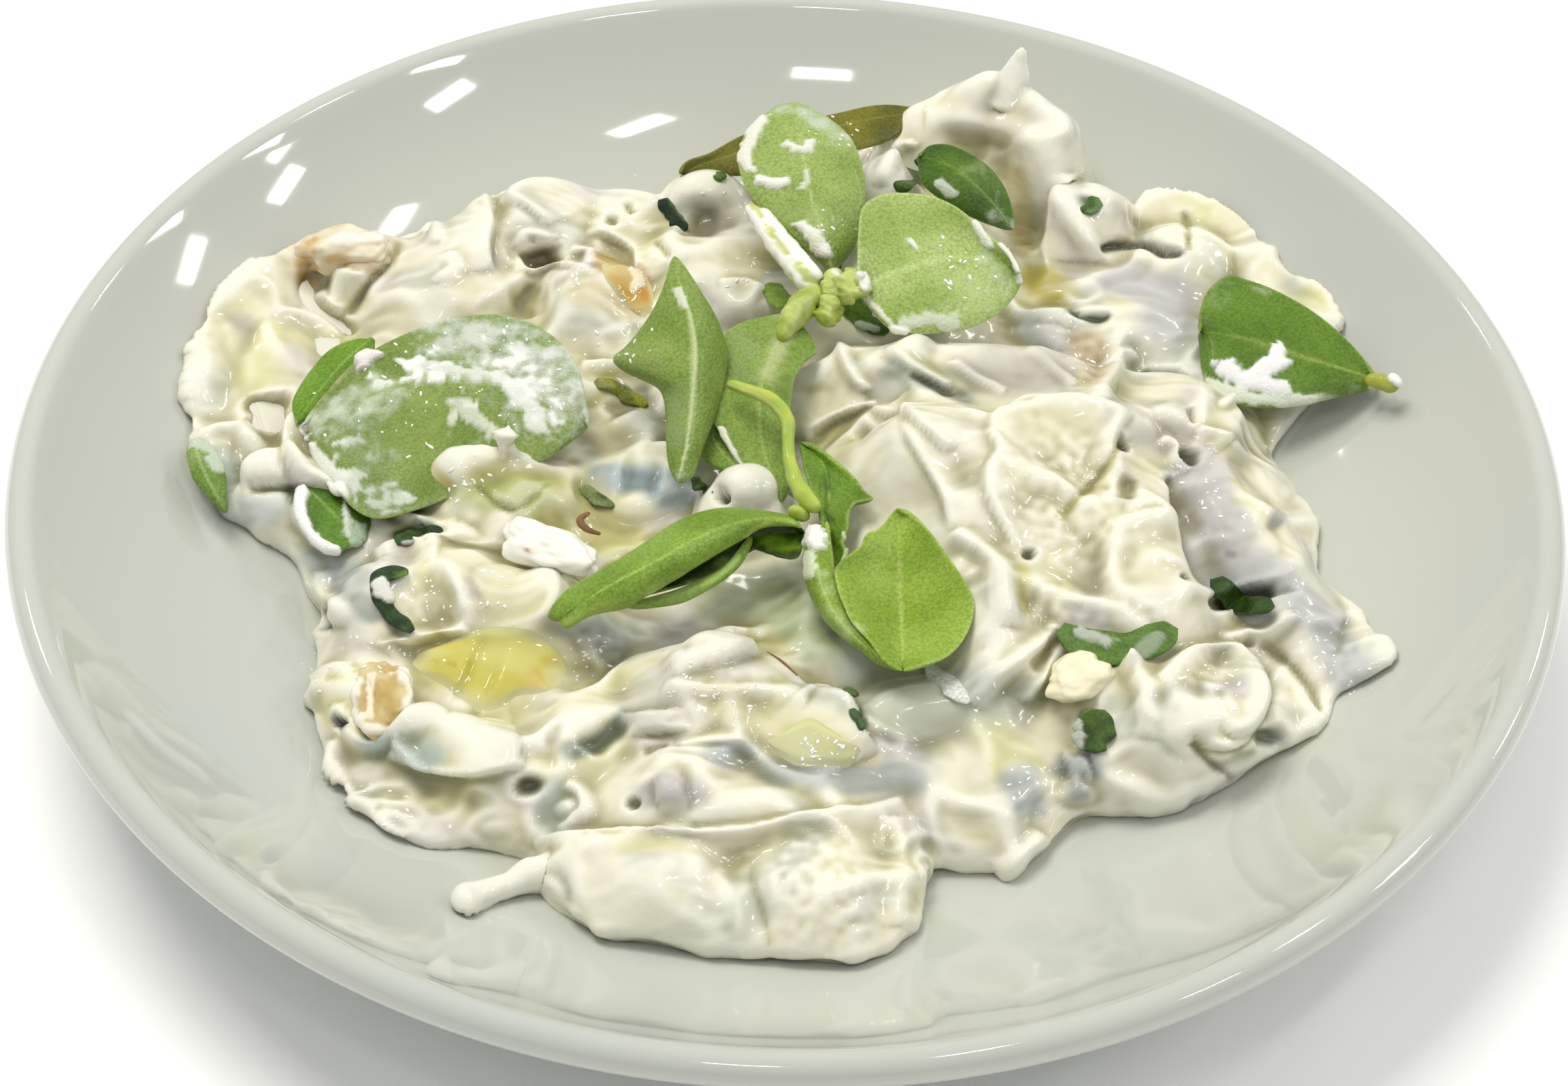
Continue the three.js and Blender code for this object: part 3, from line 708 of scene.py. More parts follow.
# %% Strokes of the spoon: kind, height, half width and line as seen
STROKES = {
    "back_left": [
        ("crease", 1.6, 1.2, [(-50.5, 47.5), (-52, 43), (-54, 38.5), (-55.5, 33)]),
        ("crease", 1.8, 1.2, [(-61.5, 42), (-61, 38), (-59.5, 34.5), (-56, 31.5), (-54.5, 29.5)]),
        ("ridge", 0.8, 0.9, [(-60, 38), (-58, 35), (-56, 34)]),
        ("fold", 0.8, 1.5, [(-53.5, 40.5), (-57, 41.5), (-60, 43)]),
        ("peak", 1.8, 1.2, [(-39.8, 61.8)]),
        ("fold", 1.3, 3, [(-38.5, 42), (-39.3, 47), (-38.8, 52), (-39.5, 59)]),
        ("fold", 1.1, 2, [(-38.5, 56), (-34.5, 54.5), (-32, 51.5)]),
        ("dent", 2.2, 2.8, [(-33, 47), (-31.5, 43.5)]),
        ("ridge", 0.9, 1, [(-35.5, 46.5), (-34, 49.5), (-31, 48.5)]),
        ("peak", 1.4, 1.2, [(-25, 62.5)]),
        ("dent", 0.9, 0.9, [(-23.5, 52.3)]),
        ("crease", 1, 0.6, [(-22, 56), (-21, 54)]),
        ("crease", 0.7, 0.5, [(-17.5, 48.5), (-15.5, 45.5)]),
        ("fold", 1.1, 2, [(-27, 50), (-23, 49), (-20.5, 46.5), (-19.8, 43), (-18.5, 41.3)]),
        ("peak", 2, 1.4, [(-11, 67.5)]),
        ("dent", 1.5, 4, [(-11.5, 54.5)]),
        ("fold", 0.8, 2, [(-3, 39.5), (-6, 41.8), (-9.5, 41.5)]),
        ("ridge", 0.7, 1, [(-48, 49.5), (-46, 50.5), (-45.5, 47)]),
        ("ridge", 0.6, 1, [(-44, 45), (-43, 42), (-44.5, 39)]),
        ("crease", 0.8, 1, [(-33, 40), (-34, 37), (-33, 34)]),
        ("fold", 0.8, 1.5, [(-36, 42.5), (-33, 42), (-30, 42.8), (-26, 41.5)]),
        ("ridge", 0.7, 0.8, [(-29, 47), (-26.5, 46), (-25.5, 43)]),
    ],
    "left": [
        ("dent", 1.8, 2.8, [(-63, 18), (-63.5, 12)]),
        ("ridge", 1.1, 1.2, [(-71, 10), (-68, 10.8), (-65, 9.5), (-63, 7.8)]),
        ("lump", 1.3, 2.7, [(-64.5, 3.8), (-60, 4.8)]),
        ("ridge", 1.5, 1, [(-60, 14), (-60, 10), (-59.5, 7), (-58, 4), (-55.5, 2.5), (-51, -0.5)]),
        ("crease", 1.4, 0.8, [(-63.5, 1.2), (-60, 1.8), (-57.7, 1)]),
        ("ridge", 1.1, 0.7, [(-57.5, 1), (-57.2, -2), (-56.2, -4.5), (-54, -7.5), (-50, -8)]),
        ("lump", 1.2, 2.4, [(-39.5, 10.5), (-34, 11)]),
        ("ridge", 1.3, 1, [(-30, 9.5), (-34, 12), (-38, 13.3), (-41, 12), (-44, 9.5), (-47, 6),
                           (-46.5, 3), (-46, 0), (-44.5, -3), (-41, -4.3), (-38, -3.5)]),
        ("crease", 0.5, 0.5, [(-37, 3), (-34, 0), (-32, -1), (-30, 1), (-28.5, 3.5)]),
        ("ridge", 1.1, 1.5, [(-42, -8.5), (-38.5, -6), (-36.5, -4)]),
    ],
    "centre": [
        ("ridge", 1, 0.9, [(-26, 24.3), (-22, 23.5), (-18, 24), (-15.5, 24.8)]),
        ("ridge", 0.9, 1, [(-16.5, 23.5), (-15.8, 20), (-15, 16)]),
        ("ridge", 1.4, 2, [(-20, 16.5), (-17.5, 13.5), (-15.5, 11.5)]),
        ("dent", 0.7, 3.5, [(-20, 5.5), (-15, 5)]),
        ("lump", 1.4, 3, [(-4.8, 4)]),
        ("dent", 1.8, 0.9, [(-7.4, 2.3)]),
        ("fold", 1.4, 2.5, [(2.5, 12.5), (5, 16), (7.5, 17.8), (10.3, 19.3)]),
        ("peak", 1, 1, [(10.3, 19.5)]),
        ("fold", 1.1, 2, [(10.5, 18.5), (11.5, 16.8), (14.5, 16.2), (17, 14), (19, 11.5)]),
        ("peak", 1.6, 1.3, [(6.5, 29)]),
        ("ridge", 0.8, 0.8, [(6.5, 29), (7.8, 25), (9.5, 22)]),
        ("crease", 1, 0.8, [(15, 25), (17.5, 23.3), (20, 21.5)]),
        ("ridge", 0.8, 0.8, [(12, 29), (14, 27.5), (16, 26), (19.5, 23.5)]),
        ("fold", 0.9, 2, [(14, 15), (16.5, 9), (18.5, 4), (19.5, -2)]),
    ],
    "front_middle": [
        ("lump", 1.7, 6, [(-7.5, -21), (-6, -25)]),
        ("fold", 1.7, 2.5, [(10.5, -37.5), (9, -35.5), (8.2, -32.5), (6.5, -30.5), (3.5, -27.8)]),
        ("dent", 0.8, 2, [(-17.5, -34), (-21.5, -38.5)]),
        ("lump", 1.4, 3.2, [(-14.2, -32.5), (-13.5, -36)]),
        ("crease", 0.8, 0.6, [(-15, -38.7), (-12, -38)]),
        ("lump", 1.4, 2.2, [(-13, -45.3), (-10, -44.7)]),
        ("dent", 1, 0.9, [(-15.7, -46)]),
        ("dent", 1.3, 1.7, [(-27, -44)]),
        ("ridge", 0.9, 0.7, [(-23, -43.5), (-20.8, -45.5), (-20.5, -48), (-23, -50.7)]),
        ("lump", 0.8, 1.5, [(-22.3, -47.3)]),
        ("fold", 1.1, 3.5, [(13.5, -44), (9, -46), (4, -47), (-2, -48.5), (-8, -49.5),
                            (-12, -50.5), (-17, -50.2), (-22, -51.2), (-26, -52)]),
        ("ridge", 0.6, 0.8, [(-13, -51.5), (-11.5, -50), (-9, -49.8)]),
        ("crease", 0.5, 2.2, [(0, -67), (-0.5, -63), (-2, -58), (-3, -53)]),
        ("lump", 0.9, 1.8, [(-24, -58.5)]), ("lump", 0.8, 1.5, [(-21.5, -62)]),
        ("lump", 0.8, 1.6, [(-18.5, -64)]), ("dent", 0.7, 3, [(-6, -55.5)]),
        ("ridge", 0.7, 1.2, [(12.5, -47), (13.5, -54), (12.8, -62)]),
        ("ridge", 0.7, 1, [(-11, -38), (-5, -36.5), (0, -41), (5, -43)]),
        ("ridge", 0.8, 1, [(-13, -28.5), (-8, -29.5), (-2, -29), (3, -31)]),
    ],
    "front_left": [
        ("dent", 1.4, 0.8, [(-52.3, -18), (-51.3, -21.5)]),
        ("ridge", 0.9, 1, [(-53.5, -12), (-52.8, -16), (-50, -18), (-50.3, -21)]),
        ("ridge", 1, 1.2, [(-47.5, -10.5), (-44, -9), (-40, -9.5)]),
        ("ridge", 1.4, 1.2, [(-45, -25.5), (-42, -22.5), (-39, -22), (-35.5, -20.5)]),
        ("peak", 1.3, 1.2, [(-42.6, -21.6)]),
        ("dent", 0.9, 5, [(-36, -27), (-32, -28)]),
        ("ridge", 1.2, 1, [(-49.5, -33), (-48, -36), (-45.5, -38.8), (-43, -38), (-40, -36),
                           (-37, -35)]),
        ("dent", 1.6, 0.8, [(-49.5, -35), (-47.8, -36.3)]),
        ("ridge", 0.9, 0.9, [(-52.5, -34), (-52.8, -37.5), (-51.5, -40.5)]),
        ("ridge", 1.1, 0.8, [(-49.5, -38), (-48.5, -43), (-46.5, -46.5), (-43.5, -48)]),
        ("fold", 1.8, 4, [(-43, -40.5), (-38, -42.3), (-33, -42.5), (-28, -41.3)]),
        ("lump", 1.5, 3.3, [(-30, -53.3)]),
        ("ridge", 0.7, 0.7, [(-42, -38.5), (-39.5, -40.5), (-37.8, -42.3)]),
        ("ridge", 0.8, 1, [(-53, -31), (-50.5, -28.5), (-48, -28)]),
    ],
    "front_right": [
        ("ridge", 1.4, 1.2, [(20, -2.5), (22.5, -5), (25, -8), (25.3, -13), (25.5, -18)]),
        ("peak", 1.6, 1.3, [(31.2, -17.8)]),
        ("ridge", 1, 1, [(31.5, -17.8), (28.5, -20.5), (25.5, -24), (22, -30)]),
        ("ridge", 0.6, 0.8, [(32.5, -20), (30, -24), (27.5, -29)]),
        ("lump", 1.2, 2.2, [(31.8, -39), (34.5, -38.5)]), ("lump", 1.1, 1.9, [(33, -42.3)]),
        ("ridge", 1, 1.2, [(29, -48.5), (26, -52), (23.5, -54.8)]),
        ("peak", 2.2, 1.8, [(39.8, -23.5)]),
        ("ridge", 0.9, 1.2, [(39.8, -23.5), (41.5, -28), (41, -34)]),
        ("lump", 1.6, 7, [(48, -31)]), ("dent", 0.8, 3.4, [(48.5, -26.5)]),
        ("ridge", 1.3, 1.2, [(42.9, -25.9), (45.8, -23), (48.8, -20.8), (50.8, -20.9),
                             (52.9, -23.8), (53.3, -27.6), (51.9, -30.9), (49.2, -33)]),
        ("crease", 1.3, 0.8, [(52.5, -20.5), (55, -24), (55.3, -28.5), (53, -33), (49, -35.5),
                              (45, -34.5)]),
        ("ridge", 0.9, 0.9, [(47, -34.6), (50, -34.6), (53, -34)]),
        ("dent", 1.2, 1.8, [(55, -33.3)]),
        ("crease", 1, 1, [(46, -33), (47, -36), (48.5, -38), (50, -39.5)]),
        ("ridge", 1, 0.8, [(50, -18.2), (53, -18.2), (56, -17.5), (59, -14)]),
        ("crease", 1.3, 1.3, [(55, -19), (58, -22), (60, -26), (61.5, -29.5)]),
        ("dent", 2.2, 4.5, [(53.5, -10), (54.5, -12.5)]),
        ("dent", 0.7, 0.8, [(47, -8.3)]), ("dent", 0.6, 0.9, [(53.3, -19.3)]),
    ],
    "right": [
        ("crease", 2.6, 1, [(45.8, 8.5), (46.7, 4), (48, -1), (49, -5.5), (50, -10)]),
        ("fold", 0.6, 2, [(40.5, 1), (43.5, 2.2), (46.5, 0.2)]),
        ("dent", 0.9, 1.5, [(40.8, 8), (40.3, 3)]),
        ("crease", 1.5, 0.7, [(40.2, 14.8), (41, 13)]),
        ("fold", 1.4, 3.5, [(41.3, 17.8), (38.5, 19.3), (35.5, 19.8), (32.5, 20), (29.5, 20.6),
                            (27, 18.8), (24, 16.3)]),
        ("fold", 1, 2, [(24, 16), (25, 12), (23.8, 8), (24, 3), (25.5, -1), (27, -4)]),
        ("crease", 0.6, 0.6, [(40, 14), (38.5, 10), (36, 6), (33, 1.5)]),
        ("dent", 1, 0.9, [(28.7, -5.2)]),
        ("lump", 1.3, 3.6, [(31.3, 34.3)]),
        ("crease", 1.3, 0.8, [(34.8, 37.3), (37.5, 36.8), (39.8, 37)]),
        ("ridge", 1.1, 1.3, [(43, 30.5), (40.5, 29), (39.5, 26), (38.5, 23.5), (38.3, 20.5)]),
        ("dent", 1.6, 1.1, [(44, 27), (46.3, 26.4), (48, 25.5)]),
        ("crease", 0.9, 0.5, [(49, 20.5), (49, 17.5)]),
        ("peak", 1.5, 1.3, [(53.2, 21.3)]), ("lump", 0.8, 2.2, [(46.5, 19.5)]),
        ("fold", 0.9, 2, [(53.3, 15.3), (51.5, 16.4), (49.5, 17)]),
        ("dent", 1.2, 1.5, [(48.2, 11.7)]),
        ("ridge", 0.8, 0.7, [(45, 15), (46.5, 13.6), (46.6, 11), (48, 9)]),
        ("ridge", 0.5, 0.7, [(29.5, 31), (32, 27.5), (35, 23.5)]),
        ("ridge", 0.6, 0.7, [(20, 28.5), (23, 25), (26.5, 22.8)]),
        ("crease", 1.7, 1, [(39.5, 50.3), (41.5, 51.5), (44, 52.3), (46, 51.6), (47.5, 50.6),
                            (50, 50.5)]),
        ("crease", 0.8, 0.8, [(50.5, 59), (51, 55), (50.8, 51)]),
        ("ridge", 1.1, 2.8, [(17, 77), (23.6, 76.5), (30.5, 73.8), (33.1, 66), (34.6, 57),
                             (36, 48)]),
        ("ridge", 1, 1.3, [(35, 66), (35.8, 60), (37, 55), (39, 48)]),
        ("ridge", 0.8, 0.9, [(11, 62), (12, 66), (13.5, 70), (15.5, 71.5)]),
        ("peak", 1.4, 1.2, [(11.2, 72)]), ("peak", 1.2, 1, [(15.3, 71.2)]),
    ],
}

# %% [markdown]
# Under its skin the cream holds leaf, oil and garlic, which show through it as grey-green,
# yellow and tan stains. Some darker grey marks in dents, creases and slits are painted
# shade, each noted where it stands.

# %% Stains and painted shade: colour, strength, half width and line as seen
STAINS_AND_SHADE = [
    ("#c9a45c", 0.75, 1.6, [(-61.8, 48), (-62, 43), (-61.2, 40)]),
    ("#c8a865", 0.7, 1.3, [(-59, 44), (-55.5, 42.8), (-53.5, 41.8)]),
    ("#d9bf8c", 0.5, 3, [(-58, 47), (-54, 47.5)]),
    ("#c9a33f", 0.75, 2, [(-23.5, 43.5), (-21, 41), (-19.5, 38.5)]),
    ("#d5bf79", 0.5, 3, [(-26, 38), (-21, 36)]),
    ("#c98a2a", 0.7, 0.6, [(-19, 43), (-18.5, 42)]),
    ("#3f5a20", 0.8, 0.7, [(-10.3, 63.6)]),
    # Painted shade in the hollow right of the back shred, and in the deep dent at the back left
    ("#b9b7ae", 0.6, 3.2, [(-12, 56), (-11, 53)]),
    ("#a08f72", 0.5, 1.8, [(-32.3, 46), (-31.2, 43.3)]),
    ("#b0a070", 0.6, 2.2, [(-63.3, 15), (-62.5, 11)]),
    ("#c9a227", 0.8, 0.7, [(-65.6, 13.2), (-65, 12.6)]),
    ("#7d9160", 0.8, 1.5, [(-71, 7.5), (-70, 5)]),
    ("#cdd2cb", 0.8, 3, [(-66, -2), (-61, -2)]),
    ("#bcc6bc", 0.7, 2, [(-68, 6), (-66, 3)]),
    # Painted shadow under the lower edge of the white lump at the left
    ("#5f7048", 0.8, 1, [(-59, 1.4), (-57.8, -0.5)]),
    ("#a9a75c", 0.75, 4.5, [(-36, 3.5), (-30.5, 3)]),
    ("#b8b069", 0.6, 3, [(-30, -1), (-26, -3)]),
    ("#c3b468", 0.8, 2, [(-43, 5.5), (-41, 3.5)]),
    ("#8f9668", 0.6, 1.8, [(-43.5, 1), (-42, -1)]),
    ("#6e6f2c", 0.75, 0.7, [(-37, 3), (-34, 0), (-32, -1), (-30, 1), (-28.5, 3.5)]),
    ("#4c6238", 0.85, 1.2, [(-45, -6.3), (-41, -5)]),
    ("#9caeb4", 1, 3.2, [(-21.5, 5), (-17, 5.5), (-13.5, 3)]),
    ("#a9b6b6", 0.9, 2, [(-13, 5.5), (-12.5, 2)]),
    ("#d6cf8e", 0.8, 6, [(-26, 0), (-22, -4), (-19, -7)]),
    ("#b7bd72", 0.85, 4, [(-36, 2), (-31, 2)]),
    ("#bdbcb8", 0.9, 3.6, [(48.5, 9), (50, 4), (52, -2)]),
    ("#c4c6c2", 0.8, 3, [(56, -6), (60, -12), (65, -22)]),
    ("#b9bfb4", 0.8, 3, [(-52, -10), (-50, -14)]),
    ("#cfd3c6", 0.8, 5, [(10, -25), (16, -30), (21, -28)]),
    ("#b4bcae", 0.85, 3, [(-20, -20), (-23, -18)]),
    ("#b2b7b0", 0.85, 2.4, [(0, -41), (8, -42), (14, -42)]),
    ("#aab0a0", 0.8, 2, [(13, 25.5), (17, 23.5), (21, 21.5)]),
    ("#c2c9a0", 0.8, 4, [(-6, -14), (0, -17), (4, -21)]),
    ("#9da329", 0.7, 1.6, [(-22.3, 21.3)]),
    ("#6a6c34", 0.8, 0.6, [(-20.5, 20.5), (-17.8, 17.8)]),
    ("#8c8f70", 0.6, 1.2, [(-18.3, 20)]),
    ("#dcd0a0", 0.5, 3, [(-23, 14), (-21, 11)]),
    ("#3c4a28", 0.9, 0.7, [(-7.4, 2.3)]),
    ("#c6d0a0", 0.7, 2, [(-9, 8), (-7.5, 5.5)]),
    ("#e0d8a6", 0.5, 2, [(7, 14), (6.5, 9)]),
    ("#c3cabb", 0.6, 1.2, [(8.5, 26.7)]),
    # Painted shade in a crease of the centre
    ("#8f9484", 0.8, 0.8, [(15.5, 24.7), (17.5, 23.2), (20.3, 21.5)]),
    ("#d6d08d", 0.5, 3.5, [(-27, -3), (-21, -6), (-17, -9)]),
    ("#d9d27c", 0.7, 0.8, [(-3.4, -21)]),
    ("#e6dfae", 0.6, 3, [(-7, -30), (-1, -34)]),
    ("#d8d288", 0.7, 3, [(2.5, -36), (5.5, -37.5)]),
    ("#bdb9b4", 0.8, 1.8, [(11, -36), (15.5, -37.5)]),
    ("#bfc4c1", 0.8, 1.6, [(4, -41.3), (15, -41)]),
    # Painted shade along a dent in the front middle
    ("#87907f", 0.85, 1.6, [(-17, -33.8), (-19.5, -36.5), (-22.8, -39.3)]),
    ("#d3cfc6", 0.6, 3, [(-14.2, -32.5), (-13.5, -36)]),
    ("#b8bdbb", 0.8, 2, [(-6.5, -39), (-4, -38.5)]),
    ("#bdb8b3", 0.8, 2.4, [(-13.5, -45), (-9.5, -44.7)]),
    # Painted shade in two small dents at the front
    ("#a9ae9c", 0.5, 0.9, [(-15.8, -46)]),
    ("#7d8478", 0.55, 1.6, [(-27, -44)]),
    ("#c2ccbf", 0.7, 2, [(-24.5, -45), (-24, -50)]),
    ("#dfdfb6", 0.5, 3, [(-30, -53)]),
    ("#c9c48b", 0.7, 1.8, [(-56.3, -13), (-54.6, -20), (-52.4, -28)]),
    # Painted shadow in a slit at the front left
    ("#6c767a", 0.85, 0.8, [(-52.2, -18.3), (-51.3, -21.3)]),
    ("#b5bab8", 0.6, 2, [(-54.5, -10), (-50.5, -14)]),
    ("#8f9a88", 0.7, 1.4, [(-48, -17), (-46.8, -19)]),
    ("#dcd687", 0.8, 5, [(-37, -26), (-32, -27)]),
    ("#e8e2b2", 0.5, 4, [(-28, -22), (-24, -28)]),
    ("#dfd9a2", 0.5, 3, [(-33, -12), (-33, -16)]),
    # Painted shade in a deep dent at the front left
    ("#444b4b", 0.9, 0.7, [(-49.4, -35.2), (-48, -36.3)]),
    ("#b9c5ba", 0.8, 2.2, [(-44, -39), (-38, -40)]),
    ("#9a9a96", 0.6, 2.5, [(-26, -19), (-20, -22)]),
    ("#b4bab4", 0.6, 2, [(-19, -24), (-17, -20)]),
    ("#bcc69c", 0.75, 3, [(0, -14), (5, -21)]),
    ("#cfd2b8", 0.7, 4, [(12, -29), (17, -30)]),
    ("#8a9670", 0.7, 1, [(7.5, -28.5), (8.5, -33)]),
    ("#5b6f45", 0.85, 0.9, [(8.5, -31.5), (9, -33.8)]),
    ("#e3d98c", 0.6, 0.9, [(27.7, -8), (27.2, -12), (27.6, -15)]),
    ("#8b5a2b", 0.9, 0.3, [(23.2, -21.2)]),
    ("#a9afaa", 0.85, 2.6, [(26.8, -41), (27.5, -44)]),
    ("#5a6a50", 0.8, 0.9, [(34.5, -31), (34.8, -36)]),
    ("#99a09a", 0.85, 2, [(32, -38.8), (34.5, -38.5)]),
    ("#8e958d", 0.85, 1.7, [(33, -42.3)]),
    # Painted shade in a dent beside the right dollop
    ("#a8b0aa", 0.8, 1.8, [(55.2, -33.4)]),
    ("#c9cdcc", 0.6, 2.5, [(64, -24), (67, -26)]),
    # Painted shade in two dents on the right
    ("#a9adb0", 0.85, 3.8, [(53, -9), (54.5, -13)]),
    ("#bcb9b0", 0.6, 0.8, [(47, -8.3)]),
    ("#c5c1bb", 0.7, 4, [(49.5, 9), (50.5, 2), (52.5, -5)]),
    ("#8d8e88", 0.7, 1, [(58, 2.5), (58, 1)]),
    ("#7c7d74", 0.6, 0.9, [(52.5, -4.5)]),
    # Painted shade in a crevice and in a hollow on the right
    ("#7a7a58", 0.85, 0.6, [(40.2, 14.8), (41, 13)]),
    ("#c9be9b", 0.5, 1.5, [(40.8, 8), (40.3, 3)]),
    ("#d3cd93", 0.75, 0.7, [(40, 14), (38.5, 10), (36, 6), (32.5, 1)]),
    ("#868c7c", 0.5, 0.9, [(28.8, -5.2)]),
    ("#c3c6c0", 0.8, 3, [(30.5, 35), (31.5, 32.5)]),
    ("#d9c39b", 0.6, 3, [(37, 32), (37, 26)]),
    # Painted shade in a slit under a fold, a hole and a dent on the right
    ("#5f7058", 0.85, 0.7, [(35, 37.3), (37.5, 36.8), (39.6, 37)]),
    ("#7d8068", 0.85, 0.9, [(44, 27), (46.3, 26.4), (48.2, 25.4)]),
    ("#9a9c95", 0.8, 1.3, [(48.2, 11.8)]),
    ("#c9c4b8", 0.75, 5, [(25, 27), (31, 26)]),
    ("#8b8570", 0.7, 0.9, [(21, 22.2)]),
    ("#b5a946", 0.9, 3.2, [(31, 44), (33, 41)]),
    ("#c6b886", 0.75, 1.8, [(29, 66), (29.5, 58), (29.5, 50)]),
    ("#c9c6c4", 0.8, 4.5, [(43, 44), (48, 42), (47, 36)]),
    # Painted shade in a crease behind the curl
    ("#8f9088", 0.8, 1, [(40.5, 51), (44, 52), (49.5, 50.8)]),
    ("#4f6a3a", 0.85, 1.2, [(38.4, 60), (38.6, 59)]),
    ("#cfc3a2", 0.5, 4, [(28, 77), (27, 70)]),
    ("#a7ac8a", 0.6, 1.3, [(37, 64)]),
]

# %% [markdown]
# Broken curd is rough, and cream that a spoon has smoothed is calm. Elsewhere the cream is
# crumpled at random: crests that wander, small folds across them, smears and fine curds.

# %% Where the cream is rough or calm
# How coarse the curd is, half width and line as seen
CURDY = [
    (0.9, 7, [(34, 8), (35, -1)]), (1, 3.2, [(30, -13), (31, -16)]),
    (0.8, 5, [(4, -55), (6, -61)]), (0.9, 3.6, [(48, -25), (49, -29)]),
    (0.7, 3.5, [(-10, -26), (-6, -30)]), (0.8, 3, [(36, -14), (41, -15)]),
    (0.3, 4, [(51, 5), (52, -2)]), (0.7, 3, [(36, 24), (38, 31)]),
    (0.7, 2.5, [(33, -39), (33, -42)]), (0.6, 3, [(-28, 40), (-24, 44)]),
    (0.6, 3, [(-44, -14), (-42, -18)]), (0.6, 4, [(64, -22), (67, -25)]),
    (0.7, 3, [(-22, -21), (-19, -24)]), (0.6, 3, [(-68, 7), (-69, 4)]),
    (0.6, 3, [(-46, 2), (-42, 0)]),
]
# Place as seen, radius, and how much of the crumple is left
CALM = [
    (48, -31, 11, 0.22), (13, 5, 8, 0.45), (50, 53, 8, 0.3), (-46, 49, 9, 0.4), (8, -58, 8, 0.4),
    (51, 3, 5.5, 0.3), (53, -7, 6, 0.3), (16, -29, 7, 0.25), (65, -21, 6, 0.4), (-7, -24, 7, 0.35),
    (-32, -27, 8, 0.1), (4, -36.5, 6, 0.15), (-20, 5, 6, 0.2), (46, 42, 8, 0.3), (29, 26, 8, 0.35),
    (-14, -33, 4, 0.3), (32, -32, 5, 0.5), (-66, 26, 7, 0.5), (-11, 55, 5, 0.4), (28, 80, 10, 0.15),
    (36, 66, 9, 0.2), (17, 77, 6, 0.3), (11, 66, 6, 0.3), (32, 56, 5, 0.4), (-14, -57, 8, 0.35),
    (2, -56, 7, 0.4), (-38, -40, 4, 0.4), (62, -10, 5, 0.4),
]
STROKE_GAIN = 1.45
STIR = 4.5
CREST, FOLD, SMEAR, CURD, SETTLED = 1.5, 0.38, 0.12, 0.3, 0.35


def roughness_of(skin):
    rough = np.full(len(skin.places), 0.08)
    for amount, width, line in CURDY:
        chosen, distance, _, _, depth = skin.near(line, 1.6 * width)
        cover = amount * depth * (1 - smooth_step(0.3 * width, 1.5 * width, distance))
        rough[chosen] = np.maximum(rough[chosen], cover)
    return rough


def calm_of(skin):
    calm = np.ones(len(skin.places))
    for x, y, radius, left in CALM:
        away = np.hypot(skin.seen[:, 0] - x, skin.seen[:, 1] - y)
        calm = np.minimum(calm, left + (1 - left) * smooth_step(0.5, 1.35, away / radius))
    return calm


def wandering_crests(places, size, seed, height, power):
    """Round-backed crests along the lines where smooth noise is nought."""
    away = np.sqrt(noise_at(places, size, seed) ** 2 + 0.006)
    return np.clip(1.2 - height * away, 0, 1) ** power


def lift_cream(skin, stirred):
    """How far the strokes and the random crumple move each point of the cream."""
    strokes = [stroke for region in STROKES.values() for stroke in region]
    lift = STROKE_GAIN * press_strokes(skin, strokes)
    crests = wandering_crests(stirred, 12, 1, 2.6, 1.4)
    folds = wandering_crests(stirred * (1, 1.5, 1), 6, 31, 2.4, 1.6)
    smears = noise_at(stirred * (0.25, 1, 1), 1.5, 41)
    patch = smooth_step(-0.25, 0.35, noise_at(skin.places, 11, 51))
    lift += calm_of(skin) * (CREST * crests + FOLD * patch * folds
                             + SMEAR * smears * (1 - patch) - SETTLED)
    lift += CURD * roughness_of(skin) * noise_at(skin.places, 1.3, 5)
    on_dish = dish_height(np.hypot(skin.places[:, 0], skin.places[:, 1])) + 0.3
    lift[skin.places[:, 2] < on_dish] = 0
    return lift


# %% [markdown]
# Cream isn't one white. It is warmer or cooler in broad patches, and grey, yellow or lilac
# where whey, oil and leaf juice are stirred in. The high mass is the cleanest cream. Over
# that, a painted highlight lightens thin crests and painted shade darkens hollows.

# %% Colours of the cream, with painted highlight and shade
# Two tones of cream, and the colour of the painted highlight on thin crests
WARM_CREAM, COOL_CREAM, PAINTED_CREST_LIGHT = "#e1dbb9", "#e4e0cd", "#f5f2e2"
# Painted highlight on the very crests, and the colour of the painted shade in hollows
PAINTED_CREST_HIGHLIGHT, HOLLOW_SHADE = "#f4f3ea", "#b3b08a"
STIRRED_IN = [("#bfc2b4", 7, 61, 0.02), ("#d9d59c", 9, 62, 0.1), ("#c9c3c0", 8, 63, 0.08)]
HIGH_MASS, HIGH_REACH = (24, 6), 20
# Rounds of smoothing, the depth of a full hollow, and how dark its painted shade gets
HOLLOWS = [(5, 0.08, 0.4), (45, 0.45, 0.75)]


def hollowness(bm, rounds):
    """How far each point lies under the average of its surroundings."""
    bm.verts.index_update()
    ends = np.array([[vert.index for vert in edge.verts] for edge in bm.edges])
    here = places_of(bm.verts)
    count = len(here)
    first, second = ends[:, 0], ends[:, 1]
    degree = np.bincount(ends.ravel(), minlength=count)
    mean = here.copy()
    for _ in range(rounds):
        for axis in range(3):
            total = (np.bincount(first, mean[second, axis], count)
                     + np.bincount(second, mean[first, axis], count))
            mean[:, axis] = 0.5 * mean[:, axis] + 0.5 * total / degree
    return ((mean - here) * normals_of(bm)).sum(1)


